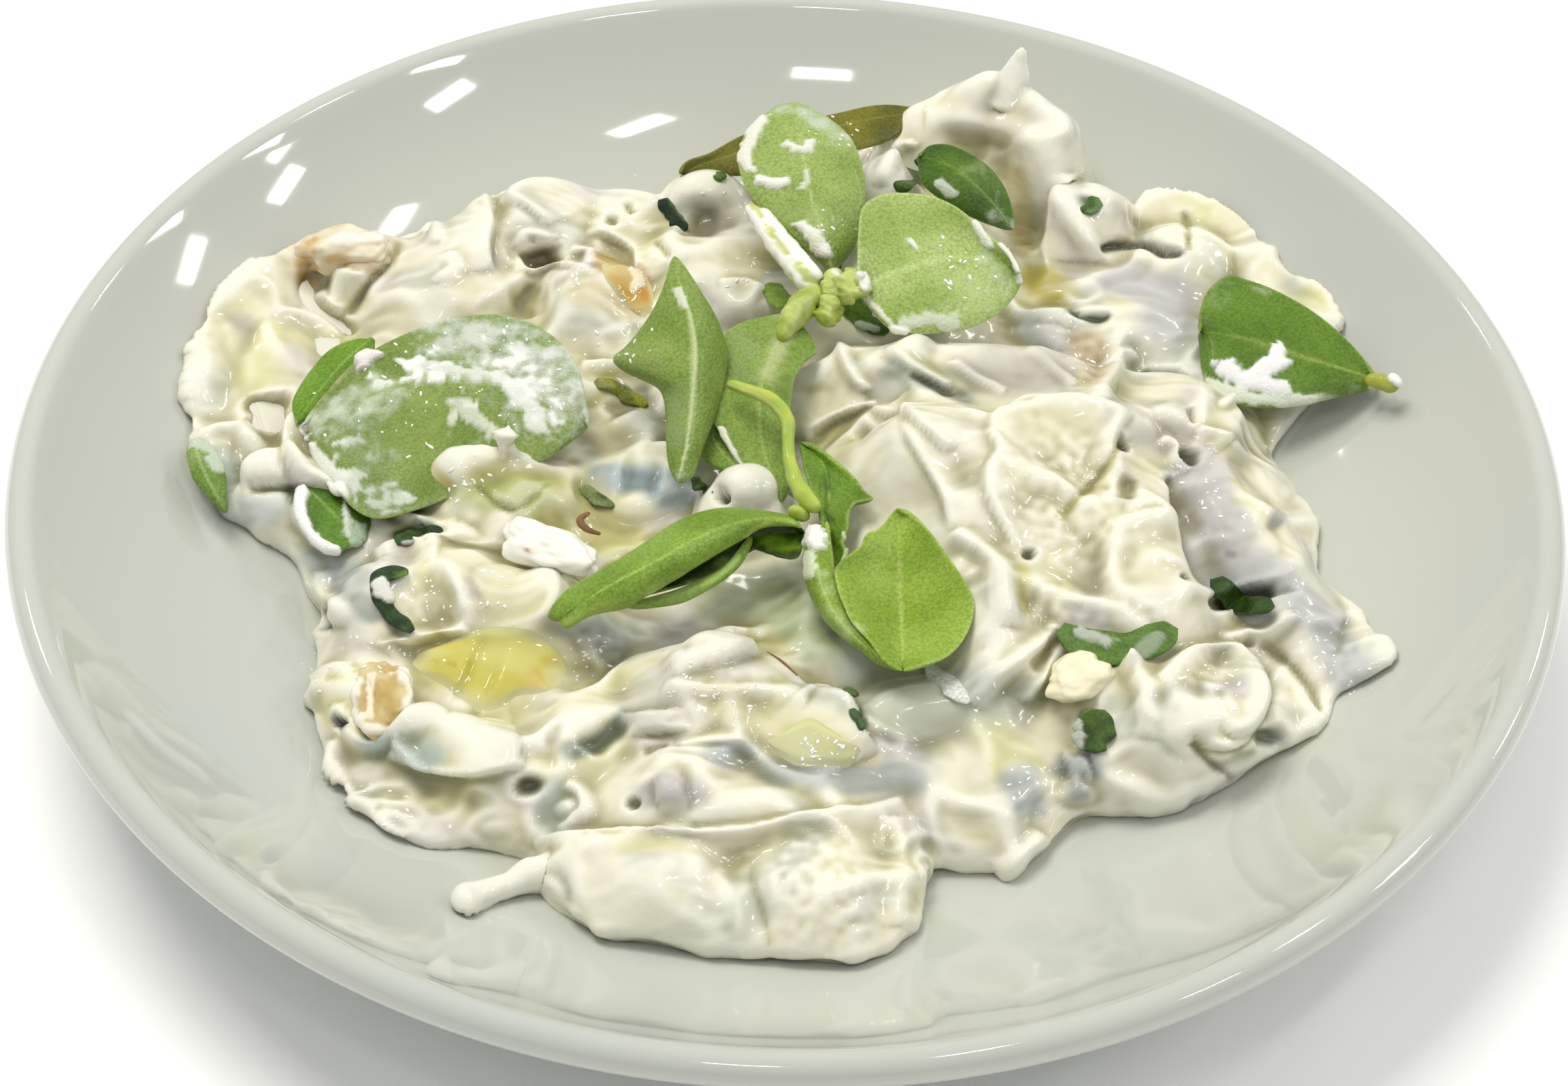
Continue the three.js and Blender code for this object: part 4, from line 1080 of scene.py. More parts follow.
def tint_and_shade_cream(bm, skin, stirred):
    high = 1 - smooth_step(0.7, 1.15, np.hypot((skin.seen[:, 0] - HIGH_MASS[0]) / HIGH_REACH,
                                               (skin.seen[:, 1] - HIGH_MASS[1]) / HIGH_REACH))
    tone = smooth_step(-0.6, 0.6, noise_at(skin.places, 16, 8))[:, None]
    base = light_of(WARM_CREAM) * (1 - tone) + light_of(COOL_CREAM) * tone
    for hex_code, size, seed, low in STIRRED_IN:
        share = smooth_step(low, low + 0.45, noise_at(stirred, size, seed)) * (1 - 0.75 * high)
        base += 0.75 * share[:, None] * (light_of(hex_code) - base)
    hollows = [np.clip(hollowness(bm, rounds) / depth, -1, 1)[:, None]
               for rounds, depth, _ in HOLLOWS]
    # Painted highlight: thin crests are lightened, before and after the stains
    crest = np.clip(-hollows[0] - 0.6 * hollows[1], 0, 1)
    base += 0.6 * crest * (light_of(PAINTED_CREST_LIGHT) - base)
    tint = stain_and_shade(skin, base, STAINS_AND_SHADE)
    tint += 0.25 * crest * (light_of(PAINTED_CREST_HIGHLIGHT) - tint)
    # Painted shade: points in hollows are darkened, for small and for broad hollows
    for hollow, (_, _, strength) in zip(hollows, HOLLOWS):
        tint *= 1 - strength * np.clip(hollow, 0, 1) * (1 - light_of(HOLLOW_SHADE))
    return tint


# %% [markdown]
# Strained yogurt is thick enough to stand in folds. Light goes a little way into it, which
# softens its shadows, and a thin coat of whey makes it wet. A very fine bump stands for
# the curd that is too small for the mesh.

# %% Dress the yogurt
def strained_yogurt():
    """A soft white body under a wet coat, with a fine curd that breaks the shine."""
    material, tree, place = new_material("strained_yogurt")
    tint = node(tree, "VertexColor", layer_name="tint").outputs[0]
    finish_material(tree, {"Base Color": tint, "Roughness": 0.3,
                           "Subsurface Weight": 0.12, "Subsurface Scale": 0.0008,
                           "Subsurface Radius": (1.0, 0.95, 0.75),
                           "Coat Weight": 0.6, "Coat Roughness": 0.08,
                           "Normal": relief(tree, grain(tree, place, 900.0, 3.0), 0.25, 0.0002)})
    return material


def dress_yogurt(bm):
    """Moves the points of the cream and returns their colours, with painted highlight and shade."""
    skin = Skin(bm)
    drift = np.stack([noise_at(skin.places, 9, seed) for seed in (21, 22, 23)], 1)
    stirred = skin.places + STIR * drift
    lift = lift_cream(skin, stirred)
    move_to(bm.verts, skin.places + skin.normals * lift[:, None])
    soften(bm, 0.35)
    return tint_and_shade_cream(bm, skin, stirred)


yogurt_tint = dress_yogurt(mass)
yogurt_tree = BVHTree.FromBMesh(mass)
yogurt = make_object(mass, "yogurt_mass", ["yogurt"], strained_yogurt())
keep_tint(yogurt, yogurt_tint)

# %% [markdown]
# A purslane leaf is a thick, waxy, spoon-shaped blade. It is drawn as it is seen, by its
# left edge, its midrib and its right edge from the base to the tip, and by the height of
# the midrib and of both edges over it. A grid is laid through those lines, doubled, and
# puffed up between its edges, so that the blade is closed and has a round rim.

# %% Leaf blades
LEAF_THICKNESS = 0.9
# The third layer is painted shade: the share by which a blade's green is darkened
BLADE_LAYERS = ("across", "along", "shade")


def along_blade(values, rows):
    """Values given from base to tip, smoothly spread over the rows of a blade."""
    values = values if isinstance(values, (list, tuple)) else [values, values]
    return curve_through([(10 * k, value) for k, value in enumerate(values)], rows + 1)[:, 1]


def blade_places(across, row, rows, edges, rib, height, lift, camber, seed):
    """The middle sheet of a blade: a level of its own for midrib, edges and a slow wave."""
    along = row / rows
    reach = np.abs(across)
    edge = np.where((across < 0)[:, None], edges[0][row], edges[1][row])
    seen = rib[row] * (1 - reach)[:, None] + edge * reach[:, None]
    rise = np.where(across < 0, along_blade(lift[0], rows)[row], along_blade(lift[1], rows)[row])
    wave = noise_at(np.stack([4 * along, np.sign(across), 0 * along], 1), 1, seed)
    z = along_blade(height, rows)[row] + rise * reach ** 1.5
    z += (camber * (1 - across ** 2) + 0.5 * wave * reach ** 3) * np.sin(math.pi * along)
    return true_places(seen, z)


def new_faces(bm, first):
    bm.faces.ensure_lookup_table()
    return bm.faces[first:]


def add_blade(bm, left, rib, right, height, lift, camber=0.3, rows=100, columns=40,
              thickness=LEAF_THICKNESS, seed=1, shade=0.0):
    """One blade in a bmesh. Layers keep each point's place across and along, and painted shade."""
    left, rib, right = (curve_through(line, rows + 1) for line in (left, rib, right))
    floats = bm.verts.layers.float
    layers = [floats.get(name) or floats.new(name) for name in BLADE_LAYERS]
    first_face = len(bm.faces)
    made = bmesh.ops.create_grid(bm, x_segments=columns, y_segments=rows, size=1)["verts"]
    flat = places_of(made)
    across = np.sin(flat[:, 0] * math.pi / 2)
    row = np.rint((flat[:, 1] + 1) / 2 * rows).astype(int)
    along = row / rows
    places = blade_places(across, row, rows, (left, right), rib, height, lift, camber, seed)
    move_to(made, places)
    for vert, *values in zip(made, across, along, np.full(len(made), shade)):
        for layer, value in zip(layers, values):
            vert[layer] = value
    faces = new_faces(bm, first_face)
    bmesh.ops.recalc_face_normals(bm, faces=faces)
    bm.normal_update()
    up = np.array([vert.normal for vert in made])
    up *= np.sign((up * (np.array(EYE) - places)).sum(1).mean())
    copied = bmesh.ops.duplicate(bm, geom=made + faces)["vert_map"]
    below = [copied[vert] for vert in made]
    rim = np.maximum(np.abs(across), np.abs(2 * along - 1))
    half = thickness / 2 * np.sqrt(np.clip(1 - rim ** 8, 0, 1))[:, None]
    move_to(made, places + up * half)
    move_to(below, places - up * half)
    bmesh.ops.remove_doubles(bm, verts=made + below, dist=0.004)
    faces = new_faces(bm, first_face)
    bmesh.ops.recalc_face_normals(bm, faces=faces)
    bm.normal_update()
    outward = sum(vert.normal.dot(Vector(way)) for vert, way in zip(made, up) if vert.is_valid)
    if outward < 0:
        bmesh.ops.reverse_faces(bm, faces=faces)


# %% [markdown]
# A leaf is two greens in soft patches, with a paler midrib, side veins and margin. Cream
# clings to it as thick dabs with a clear edge that stand proud, and as thin veils that
# only whiten it, so a dab moves the surface and a veil hardly does.

# %% Green of the leaves and cream on them
DAB = 0.13
BROAD = 2.2


def leaf_tint(skin, across, along, look, veins=7):
    deep, pale, rib_colour = (light_of(code) for code in look)
    patch = smooth_step(-0.5, 0.6, noise_at(skin.places, 5, 4))[:, None]
    tint = deep * (1 - patch) + pale * patch
    reach = np.abs(across)
    slant = (along * veins - reach * 1.6 + 0.2 * noise_at(skin.places, 3, 6)) % 1
    vein = 0.12 * np.exp(-((slant - 0.5) / 0.09) ** 2) * (1 - reach)
    rib = 0.6 * np.exp(-(across / 0.045) ** 2) * (1 - along) ** 0.5
    margin = 0.35 * smooth_step(0.93, 1, reach)
    paler = np.clip(vein + rib + margin, 0, 1)[:, None]
    return tint * (1 - paler) + rib_colour * paler


def lay_films(skin, tint, films):
    """Whitens a skin where cream clings to it, and returns how far the cream stands up."""
    lift = np.zeros(len(skin.places))
    for hex_code, strength, height, width, line in films:
        chosen, distance, _, _, depth = skin.near(line, 1.9 * width + 0.8)
        rough = distance * (1 + 0.6 * skin.wobble[chosen] + 0.5 * skin.fleck[chosen]) / width
        if height > DAB:
            cover = depth * (1 - smooth_step(0.7, 1.1, rough))
            if width > BROAD:
                cover *= smooth_step(0.0, 0.3, skin.veil[chosen])
        else:
            veil = np.clip(0.6 + 0.9 * skin.veil[chosen], 0.1, 1)
            cover = depth * (1 - smooth_step(0.25, 1.3, rough)) * veil
        skin.film[chosen] = np.maximum(skin.film[chosen], strength * cover)
        tint[chosen] += (light_of(hex_code) - tint[chosen]) * (strength * cover)[:, None]
        lift[chosen] = np.maximum(lift[chosen], height * cover * np.sqrt(
            np.clip(1.15 - rough, 0, 1)))
    return lift


# %% [markdown]
# Every leaf, stem, lump, strip and pool is finished alike: its skin gets its own colours,
# then cream is laid on it, and then it becomes a piece.

# %% Finish a piece
def finish_piece(bm, name, replaced, material, tint_of, films=(), faded=None):
    """Colours a mesh by `tint_of`, lays films of cream on it and makes it a piece. Where
    `faded` holds a share for each point and a colour, the piece fades into that colour."""
    skin = Skin(bm)
    tint = tint_of(skin)
    lift = lay_films(skin, tint, films)
    move_to(bm.verts, skin.places + skin.normals * lift[:, None])
    if faded:
        share, hex_code = faded
        tint += share[:, None] * (light_of(hex_code) - tint)
    piece = make_object(bm, name, replaced, material)
    keep_tint(piece, tint, 1 - skin.film)


# %% [markdown]
# The leaf's skin is waxy over juicy flesh. It has a soft sheen, some light glows through
# it, and skin cells of under half a millimetre break its shine and its green into grain.
# Where cream lies on it, the grain stops.

# %% Waxy leaf
def waxy_leaf():
    """A soft sheen over a grainy green that glows a little where it is thin."""
    material, tree, place = new_material("waxy_leaf")
    tint = node(tree, "VertexColor", layer_name="tint")
    cells = node(tree, "TexVoronoi", {"Vector": place, "Scale": 2600.0}).outputs[0]
    speckle = node(tree, "MapRange", {0: cells, 1: 0.0, 2: 0.9, 3: 1.22, 4: 0.72}).outputs[0]
    body = mixed(tree, tint.outputs[1], tint.outputs[0], speckle, blend_type="MULTIPLY")
    finish_material(tree, {"Base Color": body, "Roughness": 0.4, "Specular IOR Level": 0.35,
                           "Subsurface Weight": 0.15, "Subsurface Scale": 0.0008,
                           "Subsurface Radius": (0.5, 1.0, 0.25),
                           "Coat Weight": 0.12, "Coat Roughness": 0.12,
                           "Normal": relief(tree, cells, 0.7, 0.0001)})
    return material


# %% [markdown]
# The leaves of one bunch differ: young ones are fresh green, those near the tip greyish,
# old or crushed ones dark or olive. Each leaf has a look, which names its deep green, its
# pale green and its midrib. Folded, torn and rolled leaves are made of two or three blades.

# %% Leaves: look, and blades by their lines as seen and their heights
FRESH = ("#76923a", "#8ba34d", "#bccb7e")
LIGHT = ("#869e48", "#9bb05e", "#c2cf8a")
GREYISH = ("#93ab53", "#abbe72", "#cad79a")
DARK = ("#3a5a14", "#54761a", "#8cac44")
OLIVE = ("#5a5c16", "#777420", "#a09a42")
LEAVES = {
    "leaf_back": dict(slot="olive_leaf", look=OLIVE, blades=[dict(
        left=[(-15.4, 63.3), (-14.5, 66), (-11.7, 67.8), (-7, 72), (-1, 75), (4.6, 77),
              (10, 79.1), (14.2, 79.3), (18, 78)],
        rib=[(-15.4, 63.3), (-9, 67), (0, 71.5), (9, 75.5), (18, 78)],
        right=[(-15.4, 63.3), (-6, 63.5), (4, 68), (12, 71.5), (18, 78)],
        height=[18, 20.5, 21.5, 21.5, 21], lift=(0.8, -0.8))]),
    "leaf_top": dict(slot="leaf", look=LIGHT, blades=[dict(
        left=[(5, 44.5), (2.5, 47.5), (-1, 51.5), (-4, 56), (-6.3, 60), (-7.6, 65), (-7.6, 69),
              (-6.8, 72.5), (-5, 75.5), (-3.3, 77.8), (-1.5, 79)],
        rib=[(5, 44.5), (3.4, 52), (1.8, 60), (0.8, 68), (0, 75), (-1.5, 79)],
        right=[(5, 44.5), (7.3, 48.5), (8.6, 53), (9, 58), (9, 63), (8.3, 68), (7, 72), (5, 75),
               (2.5, 77.5), (0, 78.8), (-1.5, 79)],
        height=[22, 24.5, 26.5, 28, 29, 29.3], lift=(-0.8, -1))]),
    "leaf_behind_curl": dict(slot="dark_leaf", look=DARK, blades=[dict(
        left=[(28.2, 54), (24, 55.5), (19.5, 59), (16.5, 63), (16, 68.5)],
        rib=[(28.2, 54), (25, 60), (21, 65.5), (16, 68.5)],
        right=[(28.2, 54), (28.3, 58), (27, 63.5), (24.5, 67.8), (20.5, 71), (17.5, 70.8),
               (16, 68.5)],
        height=[20.5, 22.5, 25, 26], lift=(-0.8, 0.6))]),
    "leaf_top_right": dict(slot="leaf", look=GREYISH, blades=[dict(
        left=[(8, 41), (8.2, 46), (8.2, 52), (8.7, 57.5), (11, 60.2), (14.5, 60.8), (18, 60.2),
              (21, 58.2), (23.5, 55), (26, 51.5), (28, 48.5), (28.9, 45.5)],
        rib=[(8, 41), (12, 43.6), (17, 46.3), (22, 47.6), (28.9, 45.5)],
        right=[(8, 41), (9.5, 38), (12, 34), (15, 33), (19, 33.3), (23, 34.8), (26.5, 38),
               (28.6, 42), (28.9, 45.5)],
        height=[23, 24.3, 24.8, 24.8, 24.3], lift=([2, 3.4, 2], [-1, -3.2, -1]))]),
    "leaf_centre": dict(slot="leaf", look=FRESH, blades=[
        dict(left=[(-9, 16), (-10.5, 13), (-10.9, 10.5), (-9.3, 8), (-6, 6.4), (-4, 5)],
             rib=[(-9, 16), (-9, 12), (-7, 8.5), (-4, 5)],
             right=[(-9, 16), (-7, 14), (-5, 10), (-4, 5)],
             height=[17, 16.6, 16.4, 16], lift=(-0.3, -0.3)),
        dict(left=[(0, 36), (-3.5, 35.2), (-7, 33.5), (-9.3, 30), (-10.3, 25), (-10.3, 20),
                   (-9.3, 16), (-7.6, 12.3), (-5.6, 8.5), (-3.5, 5.5), (-0.5, 2)],
             rib=[(0, 36), (-1.7, 30), (-3.2, 24), (-3.6, 18), (-3, 11), (-0.5, 2)],
             right=[(0, 36), (2.3, 32), (3.2, 29), (1.8, 27), (0.6, 24), (0.3, 20.5), (0, 15),
                    (0.2, 9), (0.4, 5), (-0.5, 2)],
             height=[22, 21.5, 20.8, 19.5, 17.8, 16], lift=(-0.4, -0.6), camber=-0.5)]),
    "leaf_upright": dict(slot="leaf", look=FRESH, blades=[dict(
        left=[(-13, 4.7), (-14.2, 8), (-14.7, 12), (-15, 17), (-16.2, 21.5), (-20.5, 24.3),
              (-22, 26.5), (-20.5, 29), (-18.8, 32.5), (-17.3, 36.5), (-16.2, 41), (-15.3, 46.6)],
        rib=[(-13, 4.7), (-12.3, 10), (-11.9, 17), (-11.8, 24), (-12, 29.6), (-12.9, 35),
             (-14.2, 40), (-15.3, 46.6)],
        right=[(-13, 4.7), (-11.3, 6), (-10.5, 10), (-9, 17), (-8, 24.6), (-8.1, 29.6),
               (-9.6, 35), (-11.5, 39.3), (-13.5, 43.5), (-15.3, 46.6)],
        height=[18, 21.5, 24.5, 27, 28.8], lift=([-0.5, -2, -4.5, -2, 0], [-0.5, -2.5, -2.5, 0]),
        camber=0)]),
    "leaf_torn": dict(slot="dark_leaf", look=("#5d7c22", "#759a2c", "#b4c870"), blades=[dict(
        left=[(1.5, 12.5), (2, 8), (3, 4), (4, 0.5), (4.6, -3), (5.4, -7), (6.2, -8.5)],
        rib=[(1.5, 12.5), (4.2, 8.5), (4.9, 4), (4.9, 0), (5.3, -4), (6.2, -8.5)],
        right=[(1.5, 12.5), (3.5, 11.6), (5.5, 9.6), (8, 6.7), (9.3, 4.3), (10.3, 3), (8.3, 2.2),
               (7.5, 0.5), (7.4, -2), (6.8, -4.5), (7.5, -7), (6.2, -8.5)],
        height=[20, 20, 19.3, 17.6], lift=(0.4, 0.8), camber=-0.7, rows=80)]),
    "leaf_rolled": dict(slot="leaf", look=("#6f8f26", "#86a63c", "#b9cf73"), blades=[
        # This blade lies inside the roll; painted shade darkens its green to a fifth, as the roll
        # shades it
        dict(left=[(-18, -14.5), (-12, -9.5), (-6, -4.2), (-2, -1.6), (0.8, -1.6), (2.3, -3)],
             rib=[(-18, -14.8), (-12, -11), (-5, -5.4), (-1, -4), (2.3, -3)],
             right=[(-18, -15), (-10, -11.6), (-5, -7.4), (-3, -6), (-0.8, -7.3), (1.6, -7.2),
                    (2.3, -3)],
             height=[15.4, 15.8, 16.2, 17.4, 18.1], lift=(1.5, 0.5), thickness=0.5, shade=0.82),
        dict(left=[(-18, -16.2), (-13, -13.9), (-10, -12), (-7.3, -9.8), (-5.2, -6.8), (-3.9, -4)],
             rib=[(-18, -16.2), (-14.5, -15), (-10.8, -13.4), (-6.9, -10.1), (-3.9, -4)],
             right=[(-18, -16.2), (-15.4, -15.9), (-11.7, -15), (-9, -12.8), (-6.7, -10.5),
                    (-5, -8), (-3.9, -4)],
             height=[17, 18, 18.6, 18.9, 18.9], lift=(-0.9, -0.7), camber=0.2),
        dict(left=[(-25.5, -18.8), (-26.9, -17.8), (-25.2, -14), (-22, -11), (-19, -8.3),
                   (-16, -5.2), (-12.9, -2), (-10, -0.2), (-6.7, 0.6), (-2.5, 0.1), (0.4, -0.8),
                   (2, -2.3)],
             rib=[(-25.5, -18.8), (-21, -14), (-15, -9), (-9, -4), (-4, -1.6), (0, -1.2),
                  (2, -2.3)],
             right=[(-25.5, -18.8), (-24.6, -20), (-22, -17.6), (-18, -16.4), (-16.5, -14.9),
                    (-13, -11.8), (-10, -9), (-7, -6.2), (-5, -4.4), (-3.9, -3), (-2, -1.9),
                    (0.5, -1.7), (2, -2.3)],
             height=[17.5, 20.5, 22.3, 22.8, 22.3, 21.5, 20.5], lift=(-1.4, [0, -1.5, -2, -1.5, 0]),
             camber=0.5)]),
    "leaf_cupped": dict(slot="leaf", look=("#7c9a28", "#92ae40", "#bccc74"), blades=[
        dict(left=[(13.8, -24.9), (11.8, -23.6), (10, -20.5), (8, -17.6), (7, -15), (6.2, -12),
                   (5.9, -9.3), (6.6, -7.6), (8, -6), (8.9, -4.9), (9.5, -3), (10.6, -2.4),
                   (11.7, -1), (12.4, 0.4), (13.1, 1.5)],
             rib=[(13.8, -24.9), (13.6, -18), (13.4, -11), (13.4, -4), (13.1, 1.5)],
             right=[(13.8, -24.9), (16.7, -23.8), (18.7, -22.6), (20.3, -20.6), (21.6, -17.5),
                    (22.1, -14), (21.4, -11), (20, -8), (18.6, -5.2), (17, -2.2), (15.2, 0.3),
                    (13.1, 1.5)],
             height=[19.2, 18.6, 19.2, 20.6, 21.6], lift=([0.5, 2, 1.6, 0], 1.2), camber=-0.2),
        dict(left=[(13.6, -24.9), (11, -23.7), (9.2, -21.8), (7.4, -20.2), (5.6, -18.2),
                   (4, -15.5), (3, -12.6), (2.4, -9.5), (2.2, -7), (2.8, -4.5), (3.8, -2.2),
                   (4.8, -1)],
             rib=[(13.6, -24.9), (9.6, -21.2), (6.6, -17.3), (4.8, -13), (4, -8.6), (4.1, -4.5),
                  (4.8, -1)],
             right=[(13.6, -24.9), (11.8, -23.6), (10, -20.5), (8, -17.6), (7, -15), (6.2, -12),
                    (5.8, -8.5), (5.4, -4.5), (4.8, -1)],
             height=[18.4, 18.7, 18.9, 19.2, 19.4], lift=([0, -2.2, -2.2, 0], 0.7), camber=0.3)]),
    "leaf_left_behind": dict(slot="leaf", look=("#5f861c", "#719829", "#a7bf6a"), blades=[dict(
        left=[(-52, 29), (-51.5, 25), (-53, 20), (-56, 15), (-59.5, 13)],
        rib=[(-52, 29), (-55, 24), (-57.5, 18.5), (-59.5, 13)],
        right=[(-52, 29), (-54.6, 28.3), (-57.2, 26.3), (-59, 22.5), (-60.4, 18),
               (-60.4, 15.5), (-59.5, 13)],
        height=[16.3, 15.8, 15, 14], lift=(-0.6, 0.2))]),
    "leaf_left_big": dict(slot="leaf", look=("#71883a", "#869a4e", "#a9b67a"), blades=[dict(
        left=[(-24.3, 14), (-28, 9), (-33, 5), (-39, 1.5), (-44, -1.5), (-48, -3), (-51, -1.5),
              (-54, 2.5), (-56.5, 7), (-58.6, 13)],
        rib=[(-24.3, 14), (-31, 20), (-38, 22.3), (-45, 22), (-52, 18), (-58.6, 13)],
        right=[(-24.3, 14), (-24.8, 18), (-25.5, 22), (-26.5, 25.5), (-28.5, 29), (-31.5, 32),
               (-35, 33.7), (-38, 34.2), (-41.5, 33.4), (-45, 32), (-48.5, 29.6), (-51.5, 27),
               (-54, 24), (-56, 20), (-57.6, 16.5), (-58.6, 13)],
        height=[18, 18.6, 18.6, 18.2, 17.2, 15.6], lift=([-1, -3, -2], [1, 2.2, 0.5]),
        camber=0.5, rows=150, columns=70)]),
    "leaf_left_far": dict(slot="leaf", look=("#6c8c36", "#8aa356", "#b4c48c"), blades=[dict(
        left=[(-71.5, 9.5), (-69, 8), (-67.2, 4.5), (-66.5, 1), (-66, -2.8)],
        rib=[(-71.5, 9.5), (-70.2, 5.5), (-68.6, 2), (-66, -2.8)],
        right=[(-71.5, 9.5), (-71.9, 7), (-70.9, 3.6), (-69, 0.6), (-66, -2.8)],
        height=[15.2, 14.6, 13.8, 12.4], lift=(-0.4, -0.4), rows=60, columns=24)]),
    "leaf_left_low": dict(slot="dark_leaf", look=("#3d5f1e", "#5d8427", "#9ab866"), blades=[dict(
        left=[(-57.5, 2.2), (-54.5, 2.4), (-51.5, 1.2), (-49.6, -1), (-48.8, -4), (-49.5, -7)],
        rib=[(-57.5, 2.2), (-54.8, -1), (-52.3, -4), (-49.5, -7)],
        right=[(-57.5, 2.2), (-57.7, -1), (-56.5, -4.5), (-54.5, -7.5), (-52.3, -8.5),
               (-49.5, -7)],
        height=[13.4, 13.3, 13.1, 12.6], lift=(-0.2, 0.3), rows=60, columns=30)]),
    "leaf_right": dict(slot="leaf", look=("#54761c", "#648628", "#a4b458"), blades=[dict(
        left=[(72.6, 26.8), (71, 24.9), (68.5, 24), (65.5, 22.9), (62, 21.9), (58.5, 21.2),
              (55, 21.6), (52.3, 23.8), (51, 28), (51.2, 35)],
        rib=[(72.6, 26.8), (67.5, 28.9), (62, 31.2), (57, 33.4), (51.2, 35)],
        right=[(72.6, 26.8), (71.8, 30), (70, 33.8), (67.5, 37.6), (64.5, 41), (61, 43.8),
               (58, 45.4), (55.5, 46.2), (53, 43.5), (51.6, 39.5), (51.2, 35)],
        height=[16, 16.4, 16.3, 15.8, 15.2], lift=([-1, -2.6, -1], [1, 2.5, 1]), camber=0.2)]),
}

# %% [markdown]
# The spoon has dragged most leaves through the cream. The lower left leaf is almost
# hidden under veils of it, and others have dabs at their edges and along their midribs.

